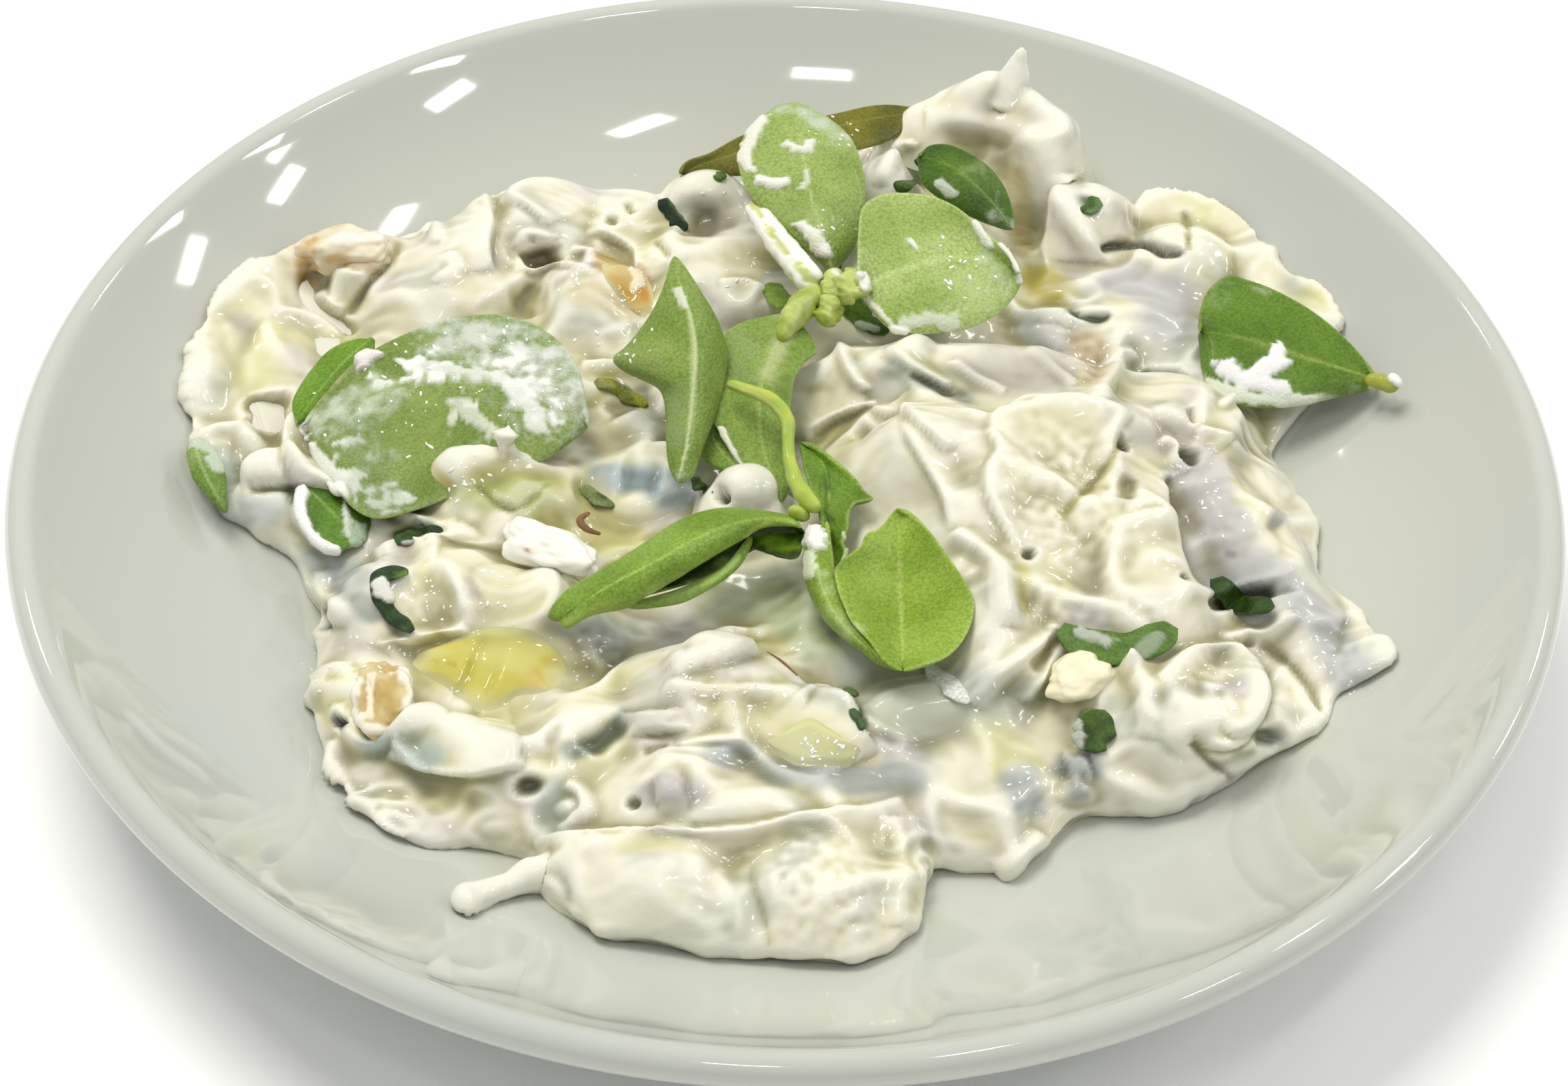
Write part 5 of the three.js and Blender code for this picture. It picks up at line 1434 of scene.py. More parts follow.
# %% Cream on the leaves: colour, strength, height, half width and line as seen
FILMS = {
    "leaf_top": [
        ("#e9e6dc", 0.9, 0.35, 0.9, [(-5, 75.5), (-6.2, 71), (-6.8, 67), (-6.3, 65)]),
        ("#c8d2bf", 0.75, 0.12, 2.2, [(1.5, 76.5), (4, 73.5), (5.5, 71.5)]),
        ("#bccab0", 0.6, 0.1, 1.5, [(-2, 77.5), (1, 77), (3, 75.5)]),
        ("#e6e6de", 0.9, 0.4, 0.8, [(-1.3, 70.3), (0.2, 69.3), (1.3, 69.3), (1.7, 70.8)]),
        ("#f0ede6", 0.95, 0.6, 1.2, [(-4.4, 62.2), (-2.5, 61.8)]),
        ("#dfe3d3", 0.8, 0.3, 0.45, [(1.5, 65.5), (1.4, 63), (0.8, 61)]),
        ("#f2f0ea", 0.95, 0.7, 1.1, [(1, 53.5), (2.5, 51), (4, 48)]),
        ("#aec07c", 0.5, 0, 3.5, [(0, 56), (5, 54)]),
    ],
    "leaf_top_right": [
        ("#e9e9e2", 0.9, 0.4, 0.6, [(14.8, 51), (15.5, 50.2)]),
        ("#f0eee6", 0.95, 0.5, 0.9, [(22, 59), (22.7, 57.5)]),
        ("#e8e8dd", 0.9, 0.35, 0.55, [(22.5, 57), (24, 53.5), (25.3, 50.5)]),
        ("#eceadf", 0.9, 0.3, 0.4, [(26.5, 51), (28.2, 47.5), (28.8, 43.5)]),
        ("#c3cfae", 0.6, 0.08, 1.5, [(24.5, 48), (26, 45), (25.5, 42)]),
        ("#f1efe8", 0.95, 0.5, 0.8, [(13.2, 33.7), (14.3, 33.5)]),
        ("#d5dcc8", 0.8, 0.15, 1.5, [(14.5, 34.8), (18, 36), (19.5, 35)]),
        ("#e9e8da", 0.85, 0.25, 0.4, [(8.3, 41.5), (9.8, 38.8), (12.2, 35.2)]),
        ("#b9cb8c", 0.4, 0, 4, [(20, 44), (24, 40)]),
    ],
    "leaf_behind_curl": [
        ("#d8dccd", 0.8, 0.2, 1.3, [(20.5, 61), (19, 63)]),
        ("#9fb176", 0.5, 0.1, 1.2, [(22.5, 66), (24, 67)]),
        ("#cfd3c4", 0.7, 0.1, 1.2, [(25.5, 56.5), (27.5, 55)]),
    ],
    "leaf_upright": [
        ("#cfd8a8", 0.7, 0.14, 0.2, [(-14.3, 40.5), (-12.9, 35), (-12, 29.6), (-11.8, 20),
                                       (-12.1, 12), (-12.7, 7)]),
        ("#dde1cf", 0.8, 0.15, 0.6, [(-14.6, 40), (-13.6, 37)]),
        ("#c2cdb0", 0.6, 0.1, 0.9, [(-13, 6), (-12, 5.5)]),
        ("#97a06a", 0.45, 0, 3, [(-20, 27), (-17.5, 26)]),
        ("#8d9c74", 0.45, 0, 1.6, [(-13.8, 22), (-13.6, 12)]),
    ],
    "leaf_centre": [
        ("#b9c08a", 0.75, 0.1, 1.7, [(0, 36), (-1.5, 30), (-3, 24.5)]),
        ("#e8eadb", 0.9, 0.3, 0.35, [(-8.2, 14.6), (-7, 11.5), (-5.7, 8.3), (-4.3, 6.5)]),
        ("#8d9c74", 0.4, 0, 2.5, [(-6, 30), (-6, 25)]),
        ("#4d6a22", 0.5, 0, 1.2, [(-0.3, 24), (-0.4, 17), (-0.6, 10)]),
    ],
    "leaf_torn": [
        ("#25400f", 0.8, -0.2, 0.5, [(4.8, 9), (4.9, 3), (5.7, -5)]),
        ("#cdd9a8", 0.7, 0.2, 0.3, [(6.8, -3), (7.2, -5.5), (6.8, -8)]),
    ],
    "leaf_rolled": [
        ("#b7cc62", 0.7, 0.1, 0.5, [(-4.6, -4), (-3.4, -2.5), (-1.5, -1.7), (0.8, -1.7)]),
        ("#94a54c", 0.6, 0.1, 1, [(-24.5, -19), (-20, -16), (-16.5, -14.5), (-12, -11)]),
        ("#a3bf66", 0.7, 0, 1.6, [(-14, -14.8), (-9.5, -12), (-6, -8)]),
        ("#7fae1e", 0.9, 0, 1.9, [(-1.5, -4.5), (0.3, -4.6)]),
    ],
    "leaf_cupped": [
        ("#f3f1ea", 0.97, 0.9, 1.6, [(3.4, -2.2), (3.6, -5)]),
        ("#e5ead2", 0.8, 0.2, 0.9, [(2.9, -6.5), (3, -10)]),
        ("#c5d79b", 0.5, 0, 1.3, [(4.3, -10), (5.5, -15), (8, -19.5)]),
        ("#5d7a24", 0.6, -0.1, 0.7, [(6.3, -8.5), (7.5, -6.5), (9.2, -4)]),
    ],
    "leaf_left_behind": [("#8d7a3c", 0.6, 0, 0.35, [(-58, 15.4), (-56.1, 20), (-54, 24)])],
    "leaf_left_big": [
        ("#a3b09c", 0.85, 0, 6.5, [(-36, 28), (-31, 25), (-29, 19)]),
        ("#dfe1d8", 0.9, 0.1, 7, [(-37, 29), (-32, 25), (-29, 19)]),
        ("#c9cfc2", 0.9, 0.12, 4, [(-43, 29.5), (-38, 29)]),
        ("#e9eae2", 0.95, 0.2, 3.6, [(-35, 25), (-31, 21), (-29, 16)]),
        ("#eef0ea", 0.95, 0.22, 2.6, [(-50, 22), (-46, 23.5), (-42, 23)]),
        ("#e6e8df", 0.9, 0.2, 3.2, [(-41, 19), (-38, 14), (-34, 11)]),
        ("#e4e7dd", 0.9, 0.2, 3, [(-53, 9), (-50, 3), (-47, 0)]),
        ("#d3d9c8", 0.8, 0.1, 3.5, [(-56, 13), (-53, 16), (-50, 19)]),
        ("#dfe0d8", 0.8, 0.3, 1, [(-45.5, 24), (-41, 23.4), (-36.5, 22.3)]),
        ("#e3e4dc", 0.8, 0.35, 1.4, [(-36, 22.5), (-33.5, 20), (-31.5, 17), (-30.5, 13.5)]),
        ("#d6dacb", 0.7, 0.25, 1.2, [(-40, 18), (-38, 15), (-35.5, 12.5)]),
        ("#8d9f4f", 0.6, 0, 3, [(-44, 17), (-43, 12)]),
        ("#6d8a2c", 0.6, 0, 0.9, [(-41, 33), (-37.5, 33.6), (-34.5, 33)]),
        ("#ece4e2", 0.95, 0.9, 1.3, [(-52.7, 24.6), (-51.9, 25.7)]),
        ("#a8aa86", 0.6, 0.1, 0.6, [(-57.6, 16.5), (-55.8, 20.5), (-53.5, 24)]),
        ("#e6e7df", 0.85, 0.4, 1.4, [(-57.5, 8), (-55, 5), (-52, 3.3)]),
        ("#f1f0ea", 0.95, 0.8, 1.2, [(-59, 12.5), (-58.6, 9), (-57.8, 6), (-56, 3), (-53, 1.6)]),
        ("#9da98c", 0.6, 0.1, 3, [(-52, 12), (-50, 5), (-48, 0)]),
        ("#7b9040", 0.5, 0, 2.5, [(-50, 9), (-46, 11)]),
        ("#6c7a3c", 0.5, 0, 1.5, [(-26, 15), (-25.5, 19)]),
    ],
    "leaf_left_far": [("#c9d2c2", 0.8, 0.15, 1.1, [(-71.2, 9), (-69, 8.5), (-67.5, 5)])],
    "leaf_left_low": [
        ("#f4f3ee", 0.97, 0.8, 0.75, [(-57.3, 1), (-57.2, -2), (-56, -5), (-54, -7.5),
                                      (-52.5, -8.3)]),
        ("#dfe3d8", 0.85, 0.4, 0.4, [(-52.2, 1), (-52, -2), (-51.2, -6)]),
        ("#b9c8b2", 0.7, 0.2, 1.2, [(-51, -5), (-50, -7)]),
    ],
    "leaf_right": [
        ("#e9e7e8", 0.95, 0.5, 2.1, [(54.5, 27.5), (57.5, 25.5), (60.5, 25)]),
        ("#efedec", 0.95, 0.6, 1.7, [(57, 27), (59.5, 28.5), (60.4, 30)]),
        ("#f2f0ec", 0.97, 0.9, 1.1, [(58, 28), (60, 30), (60.9, 32)]),
        ("#dfe3d3", 0.85, 0.25, 1.6, [(52.5, 25), (56, 23), (60, 22.7), (63.5, 22.7)]),
        ("#cdd6bd", 0.7, 0.12, 1, [(64, 23), (68, 24), (71, 25)]),
        ("#9fb07e", 0.5, 0, 1.8, [(54, 41), (54.5, 44)]),
        ("#b8a92c", 0.7, 0.1, 0.8, [(71, 27), (72.5, 26.7)]),
        ("#c3cba8", 0.5, 0.05, 0.5, [(59, 43.8), (60.5, 43.2)]),
    ],
}

# %% Make the leaves
waxy = waxy_leaf()


def make_leaf(name, form, seed):
    bm = bmesh.new()
    for blade in form["blades"]:
        add_blade(bm, seed=seed, **blade)
    across, along, shade = (layer_of(bm, layer) for layer in BLADE_LAYERS)
    faces = len(bm.faces)
    # A blade's painted shade darkens its green
    finish_piece(bm, name + "_blade", [name], waxy,
                 lambda skin: leaf_tint(skin, across, along, form["look"])
                 * (1 - shade)[:, None], FILMS.get(name, []))
    return faces


leaf_faces = {name: make_leaf(name, form, seed)
              for seed, (name, form) in enumerate(LEAVES.items())}
print("leaf faces:", leaf_faces)

# %% [markdown]
# Stems and garlic are small wet things: a tinted body that light enters, a coat of whey or
# oil and a fine uneven skin. One recipe serves them and the oil, which is smoothest.

# %% Finishes of stems, garlic and oil
def wet_skin(name, roughness, coat, scatter, waves, depth):
    """A moist body with a bright wet shine over a fine uneven skin."""
    material, tree, place = new_material(name)
    tint = node(tree, "VertexColor", layer_name="tint").outputs[0]
    finish_material(tree, {"Base Color": tint, "Roughness": roughness,
                           "Subsurface Weight": scatter, "Subsurface Scale": 0.001,
                           "Subsurface Radius": (1.0, 0.85, 0.5),
                           "Coat Weight": coat, "Coat Roughness": 0.05,
                           "Normal": relief(tree, grain(tree, place, waves, 3.0), 0.4, depth)})
    return material


def patches_of(codes, size):
    """Two colours in soft patches, as a function of the skin that takes them."""
    def tint_of(skin):
        share = smooth_step(-0.4, 0.4, noise_at(skin.places, size, 9))[:, None]
        first, second = (light_of(code) for code in codes)
        return first * (1 - share) + second * share
    return tint_of


juicy_stem = wet_skin("juicy_stem", 0.3, 0.4, 0.3, 1500.0, 0.00006)
soft_garlic = wet_skin("soft_garlic", 0.32, 0.5, 0.4, 700.0, 0.00015)
olive_oil = wet_skin("olive_oil", 0.06, 1.0, 0.5, 250.0, 0.0001)

# %% [markdown]
# A stem is round and juicy. It is a ball drawn out along a line, so that its ends are
# round, and knots make it bulge and groove, most of all at the joint where leaves grew.

# %% Tubes for stems
SMALLEST_RADIUS = 0.05
TUBE_ROWS = 200


def add_tube(bm, path, heights, radii, around=28, rings=60, knots=0.12):
    """A ball drawn out along a path of seen places, with its heights and radii. Knots are
    how far bumps and grooves stand in and out of it, as a share of its radius."""
    z = along_blade(heights, TUBE_ROWS)
    line = true_places(curve_through(path, TUBE_ROWS + 1), z)
    length = np.linalg.norm(np.diff(line, axis=0), axis=1).sum()
    made = bmesh.ops.create_uvsphere(bm, u_segments=around, v_segments=rings, radius=1)["verts"]
    ball = places_of(made)
    share = (1 - np.cos(np.arccos(np.clip(ball[:, 2], -1, 1)))) / 2
    row = share * TUBE_ROWS
    radius = along_blade(radii, TUBE_ROWS)[np.rint(row).astype(int)]
    end = np.clip(np.minimum(share, 1 - share) * length / np.maximum(radius, SMALLEST_RADIUS),
                  0, 1)
    radius = radius * np.sqrt(1 - (1 - end) ** 2)
    centre = np.stack([np.interp(row, np.arange(TUBE_ROWS + 1), line[:, k]) for k in range(3)], 1)
    tangent = np.gradient(line, axis=0)[np.rint(row).astype(int)]
    tangent /= np.linalg.norm(tangent, axis=1)[:, None]
    side = np.cross(tangent, (0, 0, 1))
    side /= np.linalg.norm(side, axis=1)[:, None]
    up = np.cross(side, tangent)
    turn = np.arctan2(ball[:, 1], ball[:, 0])[:, None]
    places = centre + radius[:, None] * (side * np.cos(turn) + up * np.sin(turn))
    bumps = noise_at(places, 1.4, 2) + 0.5 * noise_at(places, 0.6, 4)
    outward = (places - centre) / np.maximum(radius, SMALLEST_RADIUS)[:, None]
    move_to(made, places + (knots * radius * bumps)[:, None] * outward)


# %% Stems
STEMS = {
    "stem_coated": dict(
        tubes=[dict(path=[(-5.7, 57.6), (-3.3, 52.4), (-0.3, 46.8), (2.7, 41.6)],
                    heights=[24, 24.4, 24.6, 24.4], radii=[1.1, 1.5, 1.7, 1.75])],
        codes=("#c4cc77", "#d2d68d"),
        films=[("#f3f1ea", 0.97, 0.25, 0.75, [(-6.3, 56.8), (-4, 51.5), (-1, 46), (1.6, 41)]),
               ("#f3f1ea", 0.97, 0.25, 0.9, [(-4, 56.8), (-1.5, 51.6), (1.6, 46.5), (4, 42.5)]),
               ("#f5f3ee", 0.97, 0.3, 1.1, [(1.5, 41.5), (3.5, 41.2)])]),
    "stem_joint": dict(
        tubes=[dict(path=[(7.4, 44.6), (6.9, 41.5), (6, 38.6)], heights=[24.4, 24.8, 24.3],
                    radii=[1.0, 1.6, 1.5], knots=0.5),
               dict(path=[(5.4, 44.8), (5, 42), (4.7, 39)], heights=[24.2, 24.6, 24],
                    radii=[0.9, 1.3, 1.4], knots=0.5),
               dict(path=[(5, 39.8), (4.6, 36.5), (4, 34)], heights=[23.9, 23.3, 22.6],
                    radii=[1.5, 1.6, 1.4], knots=0.4),
               dict(path=[(8.4, 44.2), (8.6, 42), (7.6, 39.6)], heights=[24.2, 24.4, 23.8],
                    radii=[0.8, 1.1, 1.1], knots=0.5),
               dict(path=[(3.4, 41.2), (1.4, 38), (-0.3, 34.3), (-1.4, 31)],
                    heights=[24.2, 23.6, 22.8, 22], radii=[1.5, 1.6, 1.4, 0.7], knots=0.25)],
        codes=("#9fb140", "#bfca70"),
        films=[("#f1efe7", 0.95, 0.4, 0.8, [(8.8, 44.2), (9.3, 41.5)]),
               ("#e9e9d8", 0.8, 0.2, 0.5, [(5.2, 44.6), (6, 43.6)]),
               ("#7c9430", 0.6, 0, 0.35, [(6, 44.4), (5.9, 41), (5.3, 38.6)]),
               ("#55702a", 0.8, 0, 0.9, [(2.9, 33.6), (5.6, 33.4)]),
               ("#8fa43e", 0.7, 0, 1.3, [(5.6, 37.8), (4.8, 35.4)]),
               ("#c9cf92", 0.6, 0.1, 1.3, [(2, 39), (0, 34.5)])]),
    "stem_curved": dict(
        tubes=[dict(path=[(-7.7, 22.7), (-5.5, 21.7), (-3.4, 20.7), (-1.5, 19), (-0.2, 16.3),
                          (0, 13), (0.2, 9.5), (1, 6), (2.1, 3.2), (3.9, 0.6)],
                    heights=[22.6, 23.4, 23.6, 23.3, 22.8, 22.3, 22, 21.7, 21.3, 20.8],
                    radii=[0.6, 0.75, 0.85, 0.9, 0.8, 0.75, 0.8, 0.95, 1.1, 0.8]),
               dict(path=[(0.2, 0.6), (1.3, 0.3), (2.8, -0.6)], heights=[20, 20, 19.7],
                    radii=[0.7, 0.9, 0.7])],
        codes=("#b6c34f", "#9db548"),
        films=[("#d8dc8f", 0.8, 0, 0.35, [(-7.5, 22.5), (-4.6, 21), (-2.6, 19.3), (-1, 17.3),
                                          (-0.6, 14.5)]),
               ("#7d9434", 0.7, 0, 0.7, [(0.5, 0.4), (2.6, -0.5)]),
               ("#5f7c22", 0.6, 0, 0.3, [(0.9, 13), (1.2, 9), (2.2, 5.5)])]),
    "stem_right": dict(
        tubes=[dict(path=[(71.2, 27), (73, 26.7), (75.2, 25.9)], heights=[17, 17.6, 18.2],
                    radii=[0.8, 1.0, 1.0])],
        codes=("#8c9626", "#a5aa3a"),
        films=[("#f5f3ee", 0.97, 0.5, 0.8, [(74.6, 27.9), (75.2, 26.6)]),
               ("#f5f3ee", 0.97, 0.6, 0.8, [(71.5, 25.4), (73, 24), (74.3, 23.2)]),
               ("#7e7a1e", 0.6, 0, 0.8, [(70.9, 26.8), (71.3, 25.6)])]),
}

for name, form in STEMS.items():
    stem = bmesh.new()
    for tube in form["tubes"]:
        add_tube(stem, **tube)
    finish_piece(stem, name + "_skin", [name], juicy_stem,
                 patches_of(form["codes"], 2.5), form["films"])

# %% [markdown]
# Garlic is cooked soft, so its pieces are uneven lumps without a sharp edge. The two white
# ones are thickly coated with cream and differ from it in shape more than in colour.

# %% Garlic and cream lumps
LUMPS = {
    "garlic_front": dict(at=(-44.2, -31.5), z=12.9, half=(3.4, 4.9, 2.7), turn=10,
                         slot="garlic", codes=("#c6ab6c", "#dccb98"), films=[
        ("#efe6cf", 0.9, 0.3, 0.5, [(-46.2, -28.3), (-46, -31), (-45.6, -34.3)]),
        ("#f2eedf", 0.95, 0.5, 1.7, [(-42, -27.5), (-40.8, -29.5), (-40.8, -33)]),
        ("#f1edde", 0.95, 0.5, 0.9, [(-47.6, -29), (-47.9, -33), (-46.8, -36)]),
        ("#f0e9d8", 0.9, 0.4, 0.8, [(-46.8, -36), (-44, -36.6), (-42, -35.8)]),
        ("#b59a4e", 0.6, 0, 0.9, [(-44, -30), (-43.5, -34)])]),
    "garlic_back": dict(at=(-57.2, 45), z=16.4, half=(5.6, 3.4, 2.6), turn=12,
                        slot="garlic", codes=("#e9dfc6", "#dccba4"), films=[
        ("#c79d52", 0.8, 0, 1.3, [(-61.8, 47.8), (-62.2, 44), (-61.5, 42)]),
        ("#cfa862", 0.7, 0, 0.9, [(-59, 44), (-56, 43), (-53.8, 42)]),
        ("#f3ede0", 0.9, 0.3, 1.5, [(-58.5, 47.5), (-54, 48.3)])]),
    "garlic_white": dict(at=(-27.6, -7), z=16.6, half=(5.8, 3, 2.4), turn=-25,
                         slot="yogurt", codes=("#f3efe4", "#f6f3ea"), films=[
        ("#d08c2c", 0.9, 0, 0.35, [(-30.1, -7.3)])]),
    "garlic_right": dict(at=(34.4, -24.9), z=15.6, half=(4.6, 2.9, 2.2), turn=28,
                         slot="yogurt", codes=("#f2ebcf", "#efe7c6"), films=[]),
}


def add_lump(bm, centre, half, turn, rough=0.32, detail=5, seed=0):
    """A ball with uneven bumps, stretched to three half sizes and turned."""
    made = bmesh.ops.create_icosphere(bm, subdivisions=detail, radius=1)["verts"]
    ball = places_of(made)
    bumps = 1.3 * noise_at(ball, 1.3, seed + 3) + 0.7 * noise_at(ball, 0.6, seed)
    bumps += 0.25 * noise_at(ball, 0.25, seed + 1)
    ball *= (1 + rough * bumps)[:, None] * np.array(half)
    angle = math.radians(turn)
    spun = np.column_stack([ball[:, 0] * math.cos(angle) - ball[:, 1] * math.sin(angle),
                            ball[:, 0] * math.sin(angle) + ball[:, 1] * math.cos(angle),
                            ball[:, 2]])
    move_to(made, spun + centre)


for seed, (name, form) in enumerate(LUMPS.items()):
    lump = bmesh.new()
    centre = true_places(np.array([form["at"]]), np.array([form["z"]]))[0]
    add_lump(lump, centre, form["half"], form["turn"], seed=seed)
    finish_piece(lump, name + "_lump", [name], soft_garlic,
                 patches_of(form["codes"], 2.5), form["films"])

# %% [markdown]
# Chopped leaf lies in strips, half sunk in the cream. A strip is a blade of even width
# with ragged edges and narrow ends. The larger ones stand for solids of the model, and the
# small bits are only looks.

# %% Strips of leaf
TAPER = np.array([0.45, 0.85, 1, 1, 1, 1, 1, 0.8, 0.35])
SHRED_ABOVE, SHRED_THICK, BIT_THICK = 0.1, 0.6, 0.4


def strip(line, half):
    """Left edge, midrib and right edge of a ragged strip along a seen line."""
    middle = curve_through(line, len(TAPER))
    along = np.gradient(middle, axis=0)
    across = np.column_stack([-along[:, 1], along[:, 0]])
    across /= np.linalg.norm(across, axis=1)[:, None]
    left, right = (half * TAPER * np.array([random.uniform(0.7, 1.15) for _ in TAPER])
                   for _ in range(2))
    return middle + across * left[:, None], middle, middle - across * right[:, None]


def resting(line, above, count=5):
    """Heights a little above the cream where a seen line lands on it."""
    found = [land(yogurt_tree, *spot)[0] for spot in curve_through(line, count)]
    return [point.z + above if point else SEEN_LEVEL for point in found]


def make_strip(name, form, replaced, thickness):
    bm = bmesh.new()
    height = resting(form["line"], form.get("above", SHRED_ABOVE))
    add_blade(bm, *strip(form["line"], form["half"]), height, (-0.1, -0.1), camber=0.2,
              rows=44, columns=18, thickness=thickness)
    finish_piece(bm, name + "_piece", replaced, waxy,
                 patches_of(form["codes"], 1.5), form["films"])


# %% Chopped leaf
SHREDS = {
    "shred_back": dict(line=[(-17.4, 58), (-16, 55), (-14.2, 51.6)], half=1.15,
                       codes=("#0f1e0a", "#16290c"),
                       films=[("#5c7a33", 0.7, 0, 0.3, [(-16.6, 58), (-15, 55), (-13.6, 52.5)])]),
    "shred_left": dict(line=[(-43.6, -11.6), (-46.2, -12.3), (-46.8, -14.4), (-45.8, -17),
                             (-44.6, -19), (-42.2, -21.2)], half=1.25, above=0.7,
                       codes=("#1f331a", "#2f4a22"),
                       films=[("#86a82c", 0.9, 0, 0.8, [(-44.6, -12.2), (-43.6, -11.8)]),
                              ("#e6e6dc", 0.9, 0.3, 1.1, [(-46.8, -13.6), (-45.3, -16)])]),
    "shred_right": dict(line=[(31.8, -17.6), (35, -19.4), (39, -20.2), (42, -19.2),
                              (44.8, -16.3)], half=2.7, above=0.8,
                        codes=("#4f6f2a", "#5f7f35"), films=[
        ("#b9beb4", 0.85, 0.3, 0.9, [(34, -18), (37, -19.2)]),
        ("#9fab95", 0.7, 0.2, 1, [(41, -21), (43, -18.5)])]),
    "shred_front": dict(line=[(35.6, -29.9), (35.3, -32.8), (34.3, -36.4)], half=2.3, above=0.8,
                        codes=("#2c3f14", "#456020"), films=[
        ("#c2c5b8", 0.8, 0.3, 0.8, [(33.3, -32), (33, -35.4)]),
        ("#6f7a34", 0.8, 0.1, 0.5, [(33.6, -30.6), (35.5, -29.6), (37.2, -30.2)])]),
    "shred_side": dict(line=[(50.5, -8.4), (51.8, -11.3), (53.6, -12.9), (56.8, -12.2)],
                       half=1.8, above=1.2, codes=("#22380f", "#33501a"), films=[]),
}

BITS = {
    "leaf_by_stem": dict(line=[(-3.6, 41.5), (-1.8, 39.5), (0.6, 37.6)], half=1.9,
                         codes=("#6d8a2c", "#83a044"), films=[]),
    # A real bit of leaf; its dark green is partly painted shade from the leaf base above it
    "leaf_under_right": dict(line=[(7.2, 40.5), (8.5, 36), (12, 33)], half=1.8,
                             codes=("#3f5a1c", "#56752b"), films=[
        ("#c9cfc0", 0.8, 0.3, 0.7, [(8.5, 34.5), (10.5, 33.5)])]),
    "leaf_by_knob": dict(line=[(3.7, 46.8), (5.2, 46.6), (5.8, 45)], half=0.8,
                         codes=("#3f5f1e", "#5b7d2a"), films=[]),
    # A real bit of leaf; its near black green is partly painted shade for the gap behind the peak
    "leaf_behind_peak": dict(line=[(13.2, 61), (15.3, 65), (17.6, 69)], half=1.9,
                             codes=("#2c4214", "#41601c"), films=[]),
    "bit_by_curl": dict(line=[(37.2, 58.3), (38.5, 59), (39.2, 61.2)], half=1.2,
                        codes=("#3f5c26", "#62804a"), films=[]),
    "bit_back": dict(line=[(-10.5, 62.2), (-9.6, 63.8)], half=0.8,
                     codes=("#3f5f20", "#5f8030"), films=[]),
    "bit_under_upright": dict(line=[(-11.4, 5.7), (-10.4, 4), (-8.8, 3.4)], half=0.9,
                              codes=("#3a5520", "#567835"), films=[]),
    "bit_olive": dict(line=[(-24.5, 3.5), (-22.5, 1.8), (-20.4, 0.2)], half=1.1,
                      codes=("#5a6a3c", "#7a8650"), films=[
        ("#2f3a1c", 0.8, 0, 0.25, [(-22.5, 2.6), (-21, 1)])]),
    "bit_yellow": dict(line=[(-24, 22.4), (-21, 20.8), (-17.4, 17.9)], half=1.2,
                       codes=("#8f9424", "#6f7630"), films=[
        ("#a7a96f", 0.6, 0, 0.8, [(-24, 22), (-22.5, 21.5)])]),
    "bit_dark_left": dict(line=[(-45.6, -6.8), (-43, -5.4), (-40.2, -4.6)], half=1.2,
                          codes=("#22351a", "#3a5228"), films=[
        ("#c6ccc0", 0.7, 0.2, 0.5, [(-44.5, -6.8), (-42.8, -6.6)])]),
    "bit_crater_top": dict(line=[(7.2, -28), (8.7, -29)], half=0.5,
                           codes=("#4d6236", "#66794a"), films=[]),
    "bit_crater": dict(line=[(8, -31), (8.7, -32.5), (9.3, -34.2)], half=0.55,
                       codes=("#33482a", "#4d6640"), films=[]),
    "flake": dict(line=[(16.6, -23.7), (18.6, -26.2), (21.4, -29.5)], half=1.5,
                  codes=("#dfe4d6", "#eceee4"), films=[]),
}

for name, form in SHREDS.items():
    make_strip(name, form, [name], SHRED_THICK)
for name, form in BITS.items():
    make_strip(name, form, [], BIT_THICK)

# %% [markdown]
# Oil stands in shallow pools in the cream. A pool is a blade whose midrib lies on the
# cream, laid on it to a fifth of a millimetre deep. Its rim dips under the cream and fades
# into the colour of oily cream, because oil runs out thin.

# %% Pools of oil
OIL_DEPTH = 0.2
OILY_CREAM = "#d9d39b"
POOLS = {
    "oil_front": dict(
        left=[(-42.2, -25.3), (-40, -23.9), (-37.2, -22), (-35, -20.3), (-32, -19.6),
              (-29, -20.2), (-26.5, -22), (-24.6, -24.5), (-24, -28)],
        right=[(-42.2, -25.3), (-41, -27.5), (-38, -29.8), (-36, -32), (-33.5, -33.9),
               (-31, -33), (-29.5, -31.2), (-26.5, -30.4), (-24, -28)],
        codes=("#dbd072", "#cdc056"), films=[
            ("#d9a94a", 0.6, 0, 2.2, [(-26, -25.5), (-27, -28.5)]),
            ("#a89a3c", 0.6, 0, 0.4, [(-37.8, -25.8), (-37, -26.2)])]),
    "oil_centre": dict(
        left=[(-1.6, -35.6), (0.4, -35.2), (1.8, -33.6), (3.5, -32.5), (5.3, -33.8),
              (7.2, -35.4), (9, -37)],
        right=[(-1.6, -35.6), (-0.5, -37.8), (1.2, -39.7), (2.6, -40.4), (5, -40),
               (7.4, -39.9), (8.4, -38.8), (9, -37)],
        codes=("#dcd9a4", "#d4d196"), films=[]),
    "oil_back": dict(
        left=[(-24.5, 44.8), (-22, 44.6), (-19.5, 43.6), (-18, 41), (-17.4, 38), (-17.8, 34.5)],
        right=[(-24.5, 44.8), (-24, 41.5), (-22.5, 38.5), (-21, 36), (-19.3, 34.6),
               (-17.8, 34.5)],
        codes=("#cda04a", "#dcc07c"), films=[
            ("#efe6cc", 0.9, 0.3, 0.8, [(-20.3, 44.2), (-19.6, 42), (-20, 40)]),
            ("#c07f22", 0.8, 0, 0.8, [(-19, 39.5), (-18.6, 38)])]),
}


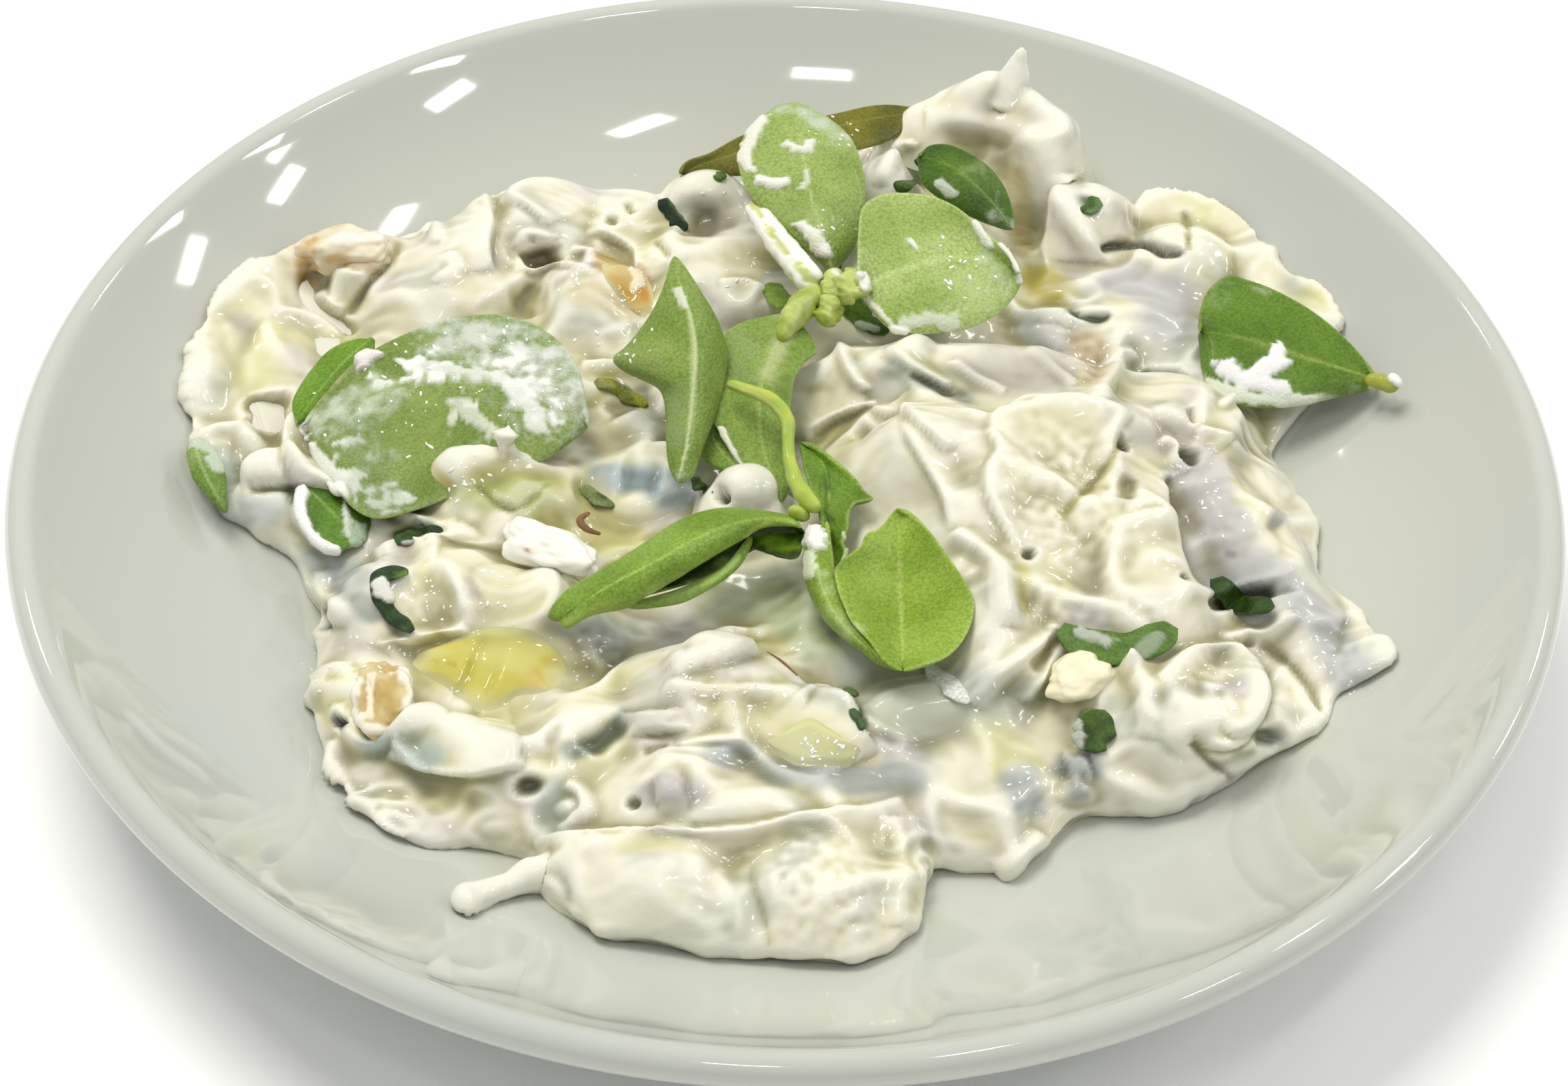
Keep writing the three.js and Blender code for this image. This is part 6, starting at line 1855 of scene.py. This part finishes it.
def settle(bm, rim):
    """Lays a pool on the cream: a film's depth in the middle, and its rim just under."""
    depth = OIL_DEPTH * (1 - 1.6 * smooth_step(0.55, 1, rim))
    spots = seen_places(places_of(bm.verts))
    for vert, spot, way, up in zip(bm.verts, spots, normals_of(bm), depth):
        point, normal = land(yogurt_tree, *spot)
        if point:
            side = 1 if way[2] > 0 else -1
            vert.co = point + Vector((0, 0, up)) + normal * (side * 0.4 * OIL_DEPTH)


for name, form in POOLS.items():
    pool = bmesh.new()
    middle = (curve_through(form["left"], 9) + curve_through(form["right"], 9)) / 2
    add_blade(pool, form["left"], middle, form["right"], resting(middle, 0), (-0.1, -0.1),
              camber=0.1, rows=60, columns=30, thickness=0.5)
    rim = np.maximum(np.abs(layer_of(pool, "across")), np.abs(2 * layer_of(pool, "along") - 1))
    settle(pool, rim)
    finish_piece(pool, name + "_pool", [name], olive_oil, patches_of(form["codes"], 4),
                 form["films"], (0.9 * smooth_step(0.55, 0.95, rim), OILY_CREAM))

# %% [markdown]
# Whey and oil stand in tiny drops on the leaves and the cream, and each throws back one
# spark of light. They are scattered along the wet places, as low domes that lie flat on
# whatever is under them.

# %% Drops: how many, half width of the band and line as seen
WET = [
    (34, 8, [(-36, 27), (-30, 20)]), (26, 8, [(-52, 18), (-44, 14)]),
    (14, 4, [(-48, 24), (-42, 27)]), (14, 3, [(3, 76), (7, 68)]), (10, 2.5, [(6, 55), (5, 51)]),
    (22, 5, [(24, 48), (20, 44)]), (16, 3, [(-23, 27), (-20, 30)]),
    (18, 2.5, [(-38, 6), (-37.5, 0)]), (12, 2, [(-4, 46), (-8, 42)]),
    (22, 3, [(-24, -23), (-20, -27)]), (26, 3, [(-13, -27), (-4, -29)]),
    (30, 2.2, [(2, -38.5), (8, -36)]), (16, 3, [(-52, -28), (-49, -28)]),
    (14, 2, [(-42, -13), (-38, -18)]), (14, 2.5, [(-33, -10), (-33, -18)]),
    (20, 3.5, [(50, 9), (52, 0)]), (14, 2.5, [(36, 27), (38, 31)]),
    (16, 4, [(64, -22), (67, -25)]), (20, 3.5, [(48, -25), (50, -28)]),
    (14, 3, [(-47, -24), (-45, -26)]), (10, 2, [(22, -30), (27, -24)]),
    (12, 3, [(-20, 60), (-10, 57)]), (14, 4, [(-33, 40), (-28, 44)]),
    (10, 3, [(-44, -46), (-39, -48)]), (14, 3, [(25, -38), (28, -42)]),
]
FARTHEST_DROP = 72


def all_made():
    """All pieces made so far as one surface in millimetres, to land drops on."""
    bm = bmesh.new()
    for piece in bpy.context.scene.objects:
        if piece.type == "MESH" and piece.get("made_here"):
            bm.from_mesh(piece.data)
    bmesh.ops.scale(bm, vec=(1 / MM, 1 / MM, 1 / MM), verts=bm.verts)
    tree = BVHTree.FromBMesh(bm)
    bm.free()
    return tree


def whey_drop():
    """Whey over cream, which looks white with a hard bright spark."""
    material, tree, place = new_material("whey_drop")
    tint = mixed(tree, grain(tree, place, 300.0), colour("#f4f4ee"), colour("#ffffff"))
    finish_material(tree, {"Base Color": tint, "Roughness": 0.05,
                           "Coat Weight": 1.0, "Coat Roughness": 0.02})
    return material


def make_drops():
    tree = all_made()
    bm = bmesh.new()
    for count, width, line in WET:
        middle = curve_through(line, 12)
        for _ in range(count):
            spot = middle[random.randrange(12)] + np.array(
                (random.uniform(-width, width), random.uniform(-width, width)))
            size = random.uniform(0.07, 0.2)
            stretch = random.uniform(1, 2.6)
            point, normal = land(tree, *spot)
            if point is None or normal.z < 0.3 or math.hypot(point.x, point.y) > FARTHEST_DROP:
                continue
            lie = (Matrix.Translation(point) @ normal.to_track_quat("Z", "Y").to_matrix().to_4x4()
                   @ Matrix.Rotation(random.uniform(0, math.pi), 4, "Z")
                   @ Matrix.Diagonal((size * stretch, size, size * 0.6, 1)))
            bmesh.ops.create_icosphere(bm, subdivisions=2, radius=1, matrix=lie)
    print("drops:", len(bm.faces) // 80)
    make_object(bm, "whey_drops", [], whey_drop())


make_drops()

# %% [markdown]
# Last come two threads that anyone would pick out: a brown fibre on the front mound, and a
# curled bit of a seed's skin beside the white lump.

# %% A fibre and a seed's skin
threads = bmesh.new()
add_tube(threads, [(-1.8, -22.5), (0, -24), (1.9, -26.2)], [18.6, 18.2, 17.4],
         [0.05, 0.16, 0.1], around=8, rings=30)
add_tube(threads, [(-23.2, -0.8), (-24.3, -2.1), (-23.4, -3.6), (-21.7, -4.4)],
         [17.2, 17.2, 17.2, 17.2], [0.2, 0.45, 0.4, 0.2], around=12, rings=30)
finish_piece(threads, "fibre_and_skin", [], soft_garlic,
             patches_of(("#6b4a24", "#7f5c33"), 2.5))
